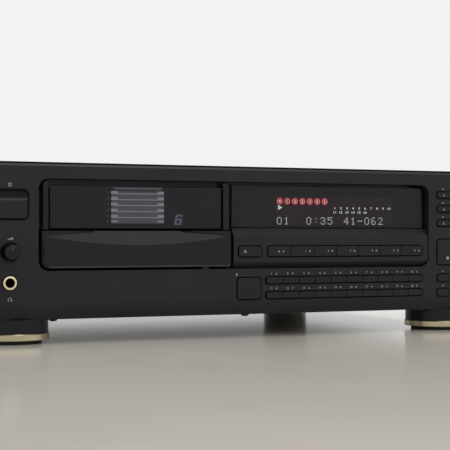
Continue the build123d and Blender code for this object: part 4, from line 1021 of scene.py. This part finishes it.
@dataclass
class DoorPrint:
    """Picture of the six-slot magazine, its slot numbers and a large six on the magazine door."""

    left: float = -115.8
    right: float = -74.1
    depth: float = 2.0
    tab_width: float = 5.1
    tab_height: float = 2.2
    last_tab_share: float = 0.6
    line_height: float = 0.55
    line_overlap: float = 0.1
    row_heights: tuple[float, ...] = (111.2, 106.8, 102.5, 98.0, 93.5, 89.3)
    ground_inset: float = 0.3
    ground_margin: float = 1.1
    ground_lift: float = 0.02
    tab_lift: float = 0.05
    top_low: float = 113.2
    top_high: float = 115.3
    top_low_insets: Point = (3.2, 2.6)
    top_high_insets: Point = (0.8, 1.0)
    number_offset: float = 2.6
    number_height: float = 1.4
    number_weight: float = 0.02
    six_x: float = -62.4
    six_z: float = 91.0
    six_width: float = 6.0
    six_height: float = 8.0
    six_waist: float = 0.3
    six_stroke: float = 1.9
    six_bar: float = 1.45
    six_lean: float = 0.2

    def block_six(self, sheet: Sheet) -> None:
        """Add a square-cut, leaning six built of bars.

        Args:
            sheet: Sheet to add to.
        """
        x0, x1 = self.six_x - self.six_width / 2, self.six_x + self.six_width / 2
        z0, z1 = self.six_z - self.six_height / 2, self.six_z + self.six_height / 2
        waist, stroke, bar = self.six_z + self.six_waist, self.six_stroke, self.six_bar
        for left, right, low, high in ((x0, x0 + stroke, z0, z1), (x0 + stroke, x1, z1 - bar, z1),
                                       (x0 + stroke, x1, waist - bar / 2, waist + bar / 2),
                                       (x0 + stroke, x1, z0, z0 + bar),
                                       (x1 - stroke, x1, z0 + bar, waist - bar / 2)):
            down, up = (self.six_lean * (z - self.six_z) for z in (low, high))
            sheet.plate([(left + down, low), (right + down, low), (right + up, high), (left + up, high)])

    def ground(self, sheet: Sheet) -> None:
        """Add the dull ground under the magazine's picture and the plate over its top.

        Args:
            sheet: Sheet to add to.
        """
        sheet.bar(self.left + self.ground_inset, self.right - self.ground_inset,
                  self.row_heights[-1] - self.ground_margin, self.row_heights[0] + self.ground_margin)
        (low_left, low_right), (high_left, high_right) = self.top_low_insets, self.top_high_insets
        sheet.plate([(self.left + low_left, self.top_low), (self.right - low_right, self.top_low),
                     (self.right - high_right, self.top_high), (self.left + high_left, self.top_high)])

    def slots(self, sheet: Sheet) -> None:
        """Add the two tabs of each slot and the line that joins them.

        Args:
            sheet: Sheet to add to.
        """
        for middle in self.row_heights:
            low, high = middle - self.tab_height / 2, middle + self.tab_height / 2
            if middle == self.row_heights[-1]:
                low = high - self.tab_height * self.last_tab_share
            else:
                sheet.bar(self.left + self.tab_width, self.right - self.tab_width, low - self.line_overlap,
                          low + self.line_height)
            sheet.bar(self.left, self.left + self.tab_width, low, high)
            sheet.bar(self.right - self.tab_width, self.right, low, high)

    def build(self) -> None:
        """Print the door."""
        back = Sheet("door_icon_ground", "flap", PRINT_SLATE, self.depth, "front_gloss", self.ground_lift)
        self.ground(back)
        marks = Sheet("door_icon_slots", "flap", PRINT_SILVER, self.depth, "front_gloss", self.tab_lift)
        self.slots(marks)
        numbers = Sheet("door_slot_numbers", "flap", PRINT_DIM, self.depth, "front_gloss")
        for index, middle in enumerate(self.row_heights):
            numbers.number(str(index + 1), self.left - self.number_offset, middle, self.number_height,
                           weight=self.number_weight)
        six = Sheet("door_six", "flap", PRINT_BLUE, self.depth, "front_gloss")
        self.block_six(six)
        for sheet in (back, marks, numbers, six):
            sheet.finish_piece()


@dataclass
class DisplayTube:
    """Lit vacuum display: disc numbers in rings, play mark, track numbers and dot-matrix digits."""

    front: float = 9.46
    haze_lift: float = 0.02
    disc_lift: float = 0.06
    digit_lift: float = 0.1
    plate: tuple[float, float, float, float] = (21.5, 129.0, 87.4, 110.8)
    plate_corner: float = 1.5
    dot: float = 0.62
    pitch: float = 0.86
    character_pitch: float = 6.35
    text_low: float = 88.0
    texts: tuple[tuple[str, float], ...] = (("01", 23.8), ("0:35", 49.9), ("41-062", 83.8))
    play_mark: tuple[float, float, float] = (26.4, 101.4, 4.2)
    track_count: int = 16
    tracks_in_row: int = 10
    track_left: float = 75.4
    track_pitch: float = 5.6
    track_top: float = 101.2
    track_drop: float = 3.3
    track_height: float = 1.9
    track_widen: float = 1.35
    track_weight: float = 0.03
    disc_count: int = 7
    disc_left: float = 26.2
    disc_pitch: float = 6.67
    disc_z: float = 106.4
    rim: Point = (2.65, 0.7)
    halo: Point = (2.1, 0.24)
    field_radius: float = 1.95
    disc_number: Point = (2.3, 0.045)
    disc_dot: float = 1.7
    mask_inset: float = 0.8
    mask_gap: float = 0.06
    mask_half: float = 0.04
    opening: tuple[float, float, float, float] = (19.5, 131.5, 86.6, 112.5)

    MATRIX = {
        "0": (14, 17, 17, 17, 17, 17, 14), "1": (4, 12, 4, 4, 4, 4, 14), "2": (14, 17, 1, 2, 4, 8, 31),
        "3": (14, 17, 1, 6, 1, 17, 14), "4": (2, 6, 10, 18, 31, 2, 2), "5": (31, 16, 30, 1, 1, 17, 14),
        "6": (14, 16, 16, 30, 17, 17, 14), "7": (31, 1, 2, 4, 8, 8, 8), "8": (14, 17, 17, 14, 17, 17, 14),
        "9": (14, 17, 17, 15, 1, 1, 14), "-": (0, 0, 0, 31, 0, 0, 0), ":": (0, 4, 0, 0, 4, 0, 0),
    }

    def characters(self, sheet: Sheet, text: str, left: float, low: float) -> None:
        """Light dot-matrix characters.

        Args:
            sheet: Sheet to add to.
            text: Digits, colons, dashes and blanks.
            left: Left side of the first one.
            low: Height of the lowest dots' lower edge.
        """
        for place, character in enumerate(text):
            for row, bits in enumerate(self.MATRIX.get(character, ())):
                for column in range(5):
                    if bits & (16 >> column):
                        x = left + place * self.character_pitch + column * self.pitch
                        z = low + (6 - row) * self.pitch
                        sheet.bar(x, x + self.dot, z, z + self.dot)

    def tracks(self, sheet: Sheet) -> None:
        """Light the play mark and the two rows of track numbers.

        Args:
            sheet: Sheet to add to.
        """
        sheet.symbol(Symbol.PLAY, *self.play_mark)
        for index in range(self.track_count):
            row, column = divmod(index, self.tracks_in_row)
            sheet.number(str(index + 1), self.track_left + column * self.track_pitch,
                         self.track_top - row * self.track_drop, self.track_height, self.track_widen,
                         self.track_weight)

    def discs(self, rims: Sheet, fields: Sheet, numbers: Sheet) -> None:
        """Light a ring for each disc, with its number in a paler ring.

        Args:
            rims: Sheet of the rings.
            fields: Sheet of the dim fields inside them.
            numbers: Sheet of the pale rings and numbers.
        """
        height, weight = self.disc_number
        for index in range(self.disc_count):
            x, z = self.disc_left + index * self.disc_pitch, self.disc_z
            rims.ring(x, z, *self.rim)
            fields.disc(x, z, self.field_radius, 24)
            numbers.ring(x, z, *self.halo)
            if index:
                numbers.number(str(index), x, z, height, weight=weight)
            else:
                numbers.symbol(Symbol.DOT, x, z, self.disc_dot)

    def build(self) -> None:
        """Light the tube."""
        haze = Sheet("display_anode_plate", "player", ANODE_HAZE, self.front, "tube_glass", self.haze_lift)
        haze.plate(rounded(*self.plate, self.plate_corner))
        white = Sheet("display_digits", "player", PHOSPHOR_WHITE, self.front, "tube_glass", self.digit_lift, 0.0)
        for text, left in self.texts:
            self.characters(white, text, left, self.text_low)
        self.tracks(white)
        red = Sheet("display_disc_rings", "player", PHOSPHOR_RED, self.front, "tube_glass", self.disc_lift, 0.0)
        deep = Sheet("display_disc_fields", "player", PHOSPHOR_DEEP, self.front, "tube_glass", self.disc_lift, 0.0)
        pale = Sheet("display_disc_numbers", "player", PHOSPHOR_PALE, self.front, "tube_glass", self.digit_lift, 0.0)
        self.discs(red, deep, pale)
        for sheet in (haze, white, red, deep, pale):
            sheet.finish_piece()
        self.mask()

    def mask(self) -> None:
        """Black print on the window's rear face, open over the lit field."""
        left, right, _, rear, low, high = box_of("display_window")
        sheet = Sheet("window_rear_print", "player", BLACK_PRINT_AND_SHADE, rear + self.mask_gap, "window_acrylic",
                      self.mask_half, self.mask_half)
        left, right, low, high = (left + self.mask_inset, right - self.mask_inset, low + self.mask_inset,
                                  high - self.mask_inset)
        open_left, open_right, open_low, open_high = self.opening
        sheet.bar(left, open_left, low, high)
        sheet.bar(open_right, right, low, high)
        sheet.bar(open_left, open_right, low, open_low)
        sheet.bar(open_left, open_right, open_high, high)
        sheet.finish_piece()


@dataclass
class KeyMarks:
    """Numbers and symbols printed on the keys, and the ribs of the open key."""

    disc_key_count: int = 7
    disc_number_x: float = 12.5
    first_mark_x: float = 9.3
    row_z: float = 5.3
    disc_number_height: float = 1.7
    disc_amber_offset: float = 3.8
    disc_amber_size: float = 1.5
    eject_mark: Mark = (Symbol.EJECT, 5.3, 5.3, 2.2)
    stop_mark: Mark = (Symbol.STOP, 9.6, 6.5, 2.3)
    play_mark: Mark = (Symbol.PLAY, 9.6, 6.5, 2.4)
    mode_symbols: tuple[Symbol, ...] = (Symbol.CORNER, Symbol.SKIP, Symbol.FRAME)
    mode_place: Point = (6.2, 3.4)
    mode_size: float = 1.6
    rib_heights: Point = (5.2, 7.4)
    rib_inset: float = 2.2
    rib_width: float = 0.5
    rib_lift: float = 0.3
    rib_sink: float = 0.2

    def on_key(self, node: str, depth: float, marks: Iterable[Mark], finish: Finish = PRINT_GREY,
               suffix: str = "mark") -> None:
        """Print marks on one key.

        Args:
            node: Node of the key, whose body has the same name with _body behind it.
            depth: Depth of its face.
            marks: Marks placed from the key's lower left corner.
            finish: Ink.
            suffix: End of the piece's name.
        """
        left, _, _, _, low, _ = box_of(node)
        sheet = Sheet(f"{node}_{suffix}", f"{node}_body", finish, depth, "key_plastic")
        for kind, x, z, size in marks:
            draw = sheet.symbol if isinstance(kind, Symbol) else sheet.number
            draw(kind, left + x, low + z, size)
        sheet.finish_piece()

    def build(self) -> None:
        """Print the keys."""
        for index in range(self.disc_key_count):
            node = f"disc_key_{index + 1}"
            kind, x = (str(index), self.disc_number_x) if index else (Symbol.PEAK, self.first_mark_x)
            self.on_key(node, KEYS.moulding_cap_depth, [(kind, x, self.row_z, self.disc_number_height)])
            mark = (AMBER_MARKS[index % len(AMBER_MARKS)], x + self.disc_amber_offset, self.row_z,
                    self.disc_amber_size)
            self.on_key(node, KEYS.moulding_cap_depth, [mark], PRINT_AMBER, "amber_mark")
        self.on_key("eject_key", KEYS.moulding_cap_depth, [self.eject_mark])
        self.on_key("stop_key", KEYS.panel_cap_depth, [self.stop_mark])
        self.on_key("play_key", KEYS.panel_cap_depth, [self.play_mark])
        across, up = self.mode_place
        self.on_key("mode_keys", KEYS.panel_cap_depth,
                    [(kind, column + across, up + row * KEYS.mode_pitch, self.mode_size)
                     for column in (0.0, KEYS.column_pitch) for row, kind in enumerate(self.mode_symbols)],
                    PRINT_AMBER)
        left, right, _, _, low, _ = box_of("open_key")
        ribs = Sheet("open_key_ribs", "open_key_body", SLOT_FINISHES["key_plastic"], KEYS.panel_cap_depth,
                     "key_plastic", self.rib_lift, self.rib_sink)
        for rise in self.rib_heights:
            ribs.bar(left + self.rib_inset, right - self.rib_inset, low + rise, low + rise + self.rib_width)
        ribs.finish_piece()


@dataclass
class LevelKnob:
    """Level knob: a matt fluted barrel on its shaft, darkened as painted shade, with a paler domed cap and a pointer
    line.
    """

    sides: int = 72
    tail: float = 2.5
    shaft: float = 3.0
    flute: float = 0.2
    seat: float = 0.5
    bevel: float = 0.3
    foot_bevel: float = 0.4
    waist: float = 0.5
    cap_steps: tuple[Point, ...] = ((0.9, 0.03), (0.35, 0.16), (0.12, 0.5), (0.3, 0.7))
    pointer_half: float = 0.25
    pointer_span: Point = (1.6, 3.7)
    pointer_sink: float = 0.3

    def build(self) -> None:
        """Build the knob in place of its plain solid. cap_steps gives the cap's inset and drop from its rim."""
        left, right, front, rear, low, high = box_of("level_knob")
        r, reach, x, z = (right - left) / 2, -front, (left + right) / 2, (low + high) / 2
        seat = reach - self.seat
        barrel = [(0.0, seat), (r - self.bevel, seat), (r, seat - self.bevel), (r, self.waist),
                  (r, -self.tail + self.foot_bevel), (r - self.foot_bevel, -self.tail), (self.shaft, -self.tail),
                  (self.shaft, -rear), (0.0, -rear)]
        cap = [(0.0, reach), *((r - inset, reach - drop) for inset, drop in self.cap_steps),
               (0.0, reach - self.cap_steps[-1][1])]
        centre, forward = (x, FACE_Y, z), Vector((0.0, -1.0, 0.0))
        knob = make_piece("level_knob_fluted", turned(barrel, centre, forward, self.sides, self.flute),
                          BARREL_SHADE, "knob", True)
        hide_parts("level_knob")
        make_piece("level_knob_cap", turned(cap, centre, forward, self.sides), GRIP_PLASTIC, "knob",
                   True)
        pointer = Sheet("level_knob_pointer", "knob", PRINT_DIM, front, "key_plastic", 0.0, self.pointer_sink)
        start, end = self.pointer_span
        pointer.bar(x - self.pointer_half, x + self.pointer_half, z + start, z + end)
        pointer.finish_piece()


@dataclass
class OpeningEdges:
    """Painted shade: dark bands on the rolled edges round the keys' openings, dark bands in their gaps, and dark
    rings on the socket collar.
    """

    width: float = 0.35
    row_end: float = 0.6
    felt_depth: float = 0.9
    felt_play: float = 0.06
    collar_edge: float = 0.5
    collar_sides: int = 36
    rim_groove: Point = (0.05, 0.4)
    bore_radius: float = 3.25
    bore_groove: float = 0.3
    groove_lift: float = 0.02
    groove_sink: float = 0.3

    def edge(self, sheets: tuple[Sheet, Sheet], span: tuple[float, float, float, float], gap: float = KEYS.gap,
             corner: float = KEYS.corner, end: float = 0.0) -> None:
        """Add painted shade on the edge of one opening and in the gap round its key.

        Args:
            sheets: Sheets of the painted shade on the edges and in the gap.
            span: Left and right side of the cap, and lower and upper side of the key before its gap.
            gap: Distance from key to cap.
            corner: Radius of the key's corners.
            end: What the edge is wider by at the left end.
        """
        left, right, low, high = span
        rims, gap_shades = sheets
        play, out, wide, shade_margin = KEYS.play, gap + KEYS.play, self.width, self.felt_play
        inner = rounded(left - out, right + out, low - play, high + play, corner + play)
        outer = rounded(left - out - wide - end, right + out + wide, low - play - wide, high + play + wide,
                        corner + play + wide)
        # Both bands are painted shade: the dark edge and the dark gap.
        rims.band(inner, outer)
        around = rounded(left - shade_margin, right + shade_margin, low + gap - shade_margin, high - gap + shade_margin, corner - gap + shade_margin)
        gap_shades.band(around, inner)

    def pair(self, name: str, depth: float, slot: str) -> tuple[Sheet, Sheet]:
        """Start the sheets of painted shade on one moulding's edges and in its gaps.

        Args:
            name: Start of both pieces' names.
            depth: Depth of the moulding's face.
            slot: Its material slot.

        Returns:
            The sheet of the edges' painted shade and the sheet of the gaps' painted shade.
        """
        return (Sheet(f"{name}_opening_edge_painted_shade", "player", PAINTED_EDGE_SHADE, depth, slot),
                Sheet(f"{name}_gap_painted_shade", "player", PAINTED_EDGE_SHADE, depth + self.felt_depth, slot))

    def collar(self, rims: Sheet) -> None:
        """Lay painted shade round the hole of the headphone socket's collar, and two dark rings of painted shade on
        the collar's rim and round its bore.

        Args:
            rims: Sheet of the edges.
        """
        left, right, front, _, low, high = box_of("jack_collar")
        x, z, radius, sides = (left + right) / 2, (low + high) / 2, (right - left) / 2, self.collar_sides
        # A band of painted shade round the collar's hole.
        rims.ring(x, z, radius + self.collar_edge, self.collar_edge, sides=sides)
        shade_rings = Sheet("jack_collar_painted_shade_rings", "player", BRASS_SHADE, front, "collar_gold", self.groove_lift,
                        self.groove_sink)
        over, width = self.rim_groove
        shade_rings.ring(x, z, radius + over, width, sides=sides)
        shade_rings.ring(x, z, self.bore_radius + self.bore_groove, self.bore_groove, sides=sides)
        shade_rings.finish_piece()

    def build(self) -> None:
        """Paint shade on the edge of every opening and in its gap."""
        panel = self.pair("panel", 0.0, "panel_plastic")
        for node, end in (("open_key", 0.0), ("stop_key", 0.0), ("play_key", 0.0),
                          ("number_keys_upper", self.row_end), ("number_keys_lower", self.row_end)):
            self.edge(panel, key_span(node), end=end)
        for node, (width, height), pitch in (("mode_keys", KEYS.mode_cap, KEYS.mode_pitch),
                                             ("function_keys", KEYS.function_cap, KEYS.function_pitch)):
            left, _, _, _, low, high = box_of(node)
            for x in (left, left + KEYS.column_pitch):
                for row in range(round((high - low) / pitch)):
                    top = high - KEYS.flange - row * pitch
                    self.edge(panel, (x, x + width, top - height, top))
        self.edge(panel, key_span("power_key"), KEYS.power_gap, KEYS.power_corner)
        self.collar(panel[0])
        moulding = self.pair("sub_panel", KEYS.moulding_face, "front_gloss")
        self.edge(moulding, key_span("eject_key"))
        self.edge(moulding, key_span("disc_key_1", "disc_key_7"))
        for sheet in (*panel, *moulding):
            sheet.finish_piece()


@dataclass
class WornEdges:
    """Painted highlights on the drawer's lower edge and the power key's ridge, and painted shade on the key's slope
    above the ridge.
    """

    chamfer: float = 1.6
    end_radius: float = 5.0
    edge_end: float = 0.4
    edge_low: Point = (-0.3, 0.3)
    edge_high: Point = (0.1, -0.1)
    ridge_inset: float = 0.5
    ridge_low: Point = (0.09, -0.9)
    ridge_high: Point = (0.21, -0.1)
    facet_start: float = 1.2
    facet_step: float = 2.0
    facet_end: float = 0.5
    facet_insets: Point = (0.4, 1.3)
    facet_lift: float = 0.03
    facet_sink: float = 0.5

    def drawer_edge(self) -> None:
        """Add a painted highlight on the chamfer of the drawer front's lower edge."""
        left, right, front, _, low, _ = box_of("drawer_front")
        (low_depth, low_rise), (high_depth, high_rise) = self.edge_low, self.edge_high
        edge = bmesh.new()
        strip(edge, left + self.end_radius, right - self.edge_end, (front + self.chamfer + low_depth, low + low_rise),
              (front + high_depth, low + self.chamfer + high_rise))
        make_piece("drawer_front_painted_highlight", edge, EDGE_HIGHLIGHT, "drawer")

    def power_key(self) -> None:
        """Add a painted highlight on the power key's ridge and painted shade on the slope above it."""
        left, right, _, _, _, high = box_of("power_key")
        ridge = high - KEYS.flange - KEYS.ridge_drop
        top = high - KEYS.flange - KEYS.power_gap
        (low_depth, low_rise), (high_depth, high_rise) = self.ridge_low, self.ridge_high
        crest, facet = bmesh.new(), bmesh.new()
        strip(crest, left + self.ridge_inset, right - self.ridge_inset,
              (KEYS.panel_cap_depth + low_depth, ridge + low_rise),
              (KEYS.panel_cap_depth + high_depth, ridge + high_rise))
        make_piece("power_key_ridge_painted_highlight", crest, RIDGE_HIGHLIGHT, "power_key_body")
        edges = (ridge + self.facet_start, top - self.facet_step, top - self.facet_end)
        for inset, *ends in zip(self.facet_insets, edges, edges[1:]):
            start, end = ((KEYS.panel_cap_depth + (z - ridge) * KEYS.slope_lean, z) for z in ends)
            strip(facet, left + inset, right - inset, start, end, self.facet_lift, self.facet_sink)
        make_piece("power_key_slope_painted_shade", facet, FACET_SHADE, "power_key_body")

    def build(self) -> None:
        """Add the strips."""
        self.drawer_edge()
        self.power_key()


@dataclass
class CaseScrews:
    """Pan-head screws with domed tops and black crosses as painted shade for their recesses, in place of the plain
    ones.
    """

    head_radius: float = 3.2
    head_height: float = 2.0
    shank_radius: float = 1.5
    shank_length: float = 6.0
    recess_length: float = 3.4
    recess_width: float = 0.8
    recess_span: Point = (0.8, 0.995)
    dome: tuple[Point, ...] = ((0.0, 1.0), (0.4, 0.98), (0.7, 0.86), (0.92, 0.6), (1.0, 0.3), (1.0, 0.0))
    sides: int = 28

    def places(self) -> list[tuple[Vector, Vector]]:
        """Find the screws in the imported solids: each group of linked points is one.

        Returns:
            Seat and outward direction of each, in millimetres.
        """
        solid = bmesh.new()
        solid.from_mesh(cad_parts["case_screws"].data)
        bmesh.ops.remove_doubles(solid, verts=solid.verts[:], dist=1e-6)
        found, seen = [], set()
        for start in solid.verts:
            if start in seen:
                continue
            group, queue = [], [start]
            seen.add(start)
            while queue:
                vert = queue.pop()
                group.append(vert.co / MM)
                for edge in vert.link_edges:
                    other = edge.other_vert(vert)
                    if other not in seen:
                        seen.add(other)
                        queue.append(other)
            low = Vector([min(point[axis] for point in group) for axis in range(3)])
            high = Vector([max(point[axis] for point in group) for axis in range(3)])
            found.append(self.seat_of(low, high))
        solid.free()
        return found

    def seat_of(self, low: Vector, high: Vector) -> tuple[Vector, Vector]:
        """Find how the screw in a box sits: in a side, the rear or the underside.

        Args:
            low: The box's lowest corner in millimetres.
            high: Its highest corner.

        Returns:
            The screw's seat and outward direction.
        """
        size, middle = high - low, (low + high) / 2
        axis = max(range(3), key=lambda index: size[index])
        sign = (math.copysign(1.0, middle.x), 1.0, -1.0)[axis]
        outward = Vector([sign if index == axis else 0.0 for index in range(3)])
        seat = middle + outward * (size[axis] / 2 - self.head_height)
        return seat, outward

    def build(self) -> None:
        """Turn the screws and lay black crosses on their heads as painted shade for the recesses. dome gives the
        head's outline as shares of radius and height.
        """
        top = self.head_height
        profile = [*((self.head_radius * out, top * up) for out, up in self.dome), (self.shank_radius, 0.0),
                   (self.shank_radius, -self.shank_length), (0.0, -self.shank_length)]
        heads, crosses = bmesh.new(), bmesh.new()
        for seat, outward in self.places():
            turned(profile, tuple(seat), outward, self.sides, 0.0, heads)
            across = outward.orthogonal().normalized()
            for along in (across, outward.cross(across)):
                side = outward.cross(along)
                corners = [crosses.verts.new((seat + along * a * self.recess_length / 2
                                              + side * b * self.recess_width / 2 + outward * top * c) * MM)
                           for c in self.recess_span for a, b in ((-1, -1), (1, -1), (1, 1), (-1, 1))]
                bmesh.ops.convex_hull(crosses, input=corners)
        piece = make_piece("case_screws_pan_head", heads, SLOT_FINISHES["screw_steel"], "player", True)
        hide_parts("case_screws")
        # Black crosses stand for the shade in the recesses: painted shade.
        make_piece("case_screw_recess_painted_shade", crosses, BLACK_PRINT_AND_SHADE, "player")


@dataclass
class RearFittings:
    """Coloured collars round the output sockets."""

    height: float = 60.1
    left_x: float = 102.0
    right_x: float = 88.0
    collar_outer: float = 6.2
    collar_inner: float = 4.3
    thickness: float = 1.0
    bevel: float = 0.3
    sides: int = 40

    def build(self) -> None:
        """Add a white and a red collar."""
        _, _, _, rear, _, _ = box_of("rear_panel")
        inner, outer, out = self.collar_inner, self.collar_outer, self.thickness
        profile = [(inner, 0.0), (outer, 0.0), (outer, out - self.bevel), (outer - self.bevel, out), (inner, out)]
        for name, x, finish in (("socket_collar_left", self.left_x, SOCKET_WHITE),
                                ("socket_collar_right", self.right_x, SOCKET_RED)):
            mesh = turned(profile, (x, FACE_Y + rear, self.height), Vector((0.0, 1.0, 0.0)), self.sides)
            make_piece(name, mesh, finish, "player", True)


@dataclass(frozen=True)
class SoftBox:
    """A rectangular lamp: its name, its place and size in metres, and its power in watts."""

    name: str
    place: tuple[float, float, float]
    width: float
    height: float
    power: float


@dataclass
class Studio:
    """Plain pale floor, soft lamps and the camera at the photograph's viewing angle. Lengths are in metres."""

    floor_colour: str = "#eee6da"
    floor_pale: str = "#f1eadf"
    floor_cloud_mm: float = 90.0
    floor_roughness: float = 0.15
    floor_ior: float = 1.5
    floor_half: float = 6.0
    sky_colour: str = "#f4f5f7"
    backdrop_colour: str = "#f2f2f2"
    world_strength: float = 0.62
    aim: tuple[float, float, float] = (0.0, 0.0, 0.08)
    lamps: tuple[SoftBox, ...] = (SoftBox("overhead_softbox", (0.3, -0.1, 2.2), 2.4, 1.2, 14.0),
                                  SoftBox("left_softbox", (-1.6, -1.4, 1.2), 1.2, 1.0, 4.0),
                                  SoftBox("facet_softbox", (0.75, -1.9, 0.95), 0.9, 0.25, 4.0))
    lens: float = 99.36
    sensor: float = 36.0
    camera_x: float = -0.398
    camera_reach: float = 0.879
    camera_z: float = 0.0796
    yaw: float = 23.0
    pitch: float = 0.46

    def floor(self) -> None:
        """Lay the floor, pale and slightly polished."""
        material, shader = new_material("floor_laminate_pale", self.floor_colour)
        tree = material.node_tree
        tree.links.new(two_tone(tree, noise(tree, self.floor_cloud_mm, 3.0), self.floor_colour, self.floor_pale),
                       shader.inputs["Base Color"])
        shader.inputs["Roughness"].default_value = self.floor_roughness
        shader.inputs["IOR"].default_value = self.floor_ior
        mesh = bmesh.new()
        half = self.floor_half
        corners = [mesh.verts.new((x * half, y * half, 0.0)) for x, y in ((-1, -1), (1, -1), (1, 1), (-1, 1))]
        mesh.faces.new(corners)
        data = bpy.data.meshes.new("floor")
        mesh.to_mesh(data)
        mesh.free()
        data.materials.append(material)
        floor = bpy.data.objects.new("floor", data)
        bpy.context.scene.collection.objects.link(floor)

    def world(self) -> None:
        """Set a plain even world that shows as white behind the object."""
        world = bpy.data.worlds.new("studio")
        world.use_nodes = True
        bpy.context.scene.world = world
        tree = world.node_tree
        tree.nodes.clear()
        path = add_node(tree, "ShaderNodeLightPath")
        seen = path.outputs["Is Camera Ray"]
        for ray in ("Is Glossy Ray", "Is Transmission Ray"):
            seen = add_node(tree, "ShaderNodeMath", {"operation": "MAXIMUM"}, {0: seen, 1: path.outputs[ray]}
                            ).outputs[0]
        lit = add_node(tree, "ShaderNodeBackground", inputs={"Color": linear(self.sky_colour),
                                                             "Strength": self.world_strength})
        shown = add_node(tree, "ShaderNodeBackground", inputs={"Color": linear(self.backdrop_colour),
                                                               "Strength": 1.0})
        mix = add_node(tree, "ShaderNodeMixShader", inputs={0: seen, 1: lit.outputs[0], 2: shown.outputs[0]})
        add_node(tree, "ShaderNodeOutputWorld", inputs={0: mix.outputs[0]})

    def lamp(self, box: SoftBox) -> None:
        """Hang a soft box aimed at the middle of the object.

        Args:
            box: The lamp to hang.
        """
        light = bpy.data.lights.new(box.name, "AREA")
        light.shape = "RECTANGLE"
        light.size, light.size_y = box.width, box.height
        light.energy = box.power
        lamp = bpy.data.objects.new(box.name, light)
        lamp.location = box.place
        lamp.rotation_euler = (Vector(self.aim) - Vector(box.place)).to_track_quat("-Z", "Y").to_euler()
        bpy.context.scene.collection.objects.link(lamp)

    def camera(self) -> None:
        """Set the camera."""
        data = bpy.data.cameras.new("camera")
        data.lens = self.lens
        data.sensor_width = self.sensor
        data.clip_end = 50.0
        camera = bpy.data.objects.new("camera", data)
        camera.location = (self.camera_x, FACE_Y * MM - self.camera_reach, self.camera_z)
        camera.rotation_euler = (math.radians(90.0 + self.pitch), 0.0, math.radians(-self.yaw))
        bpy.context.scene.collection.objects.link(camera)
        bpy.context.scene.camera = camera

    def build(self) -> None:
        """Set up the studio."""
        self.floor()
        self.world()
        for box in self.lamps:
            self.lamp(box)
        self.camera()


def main() -> None:
    """Build every sub-assembly in order."""
    logging.basicConfig(level=logging.INFO, format="%(message)s")
    SolidFinishes({"front_board": BOARD_BLACK}).dress()
    for assembly in (PanelPrint(), DoorPrint(), DisplayTube(), KeyMarks(), LevelKnob(), OpeningEdges(), WornEdges(),
                     CaseScrews(), RearFittings(), Studio()):
        assembly.build()
        LOG.info("built %s", type(assembly).__name__)
    view = bpy.context.scene.view_settings
    view.view_transform = "Standard"


if __name__ == "__main__":
    main()
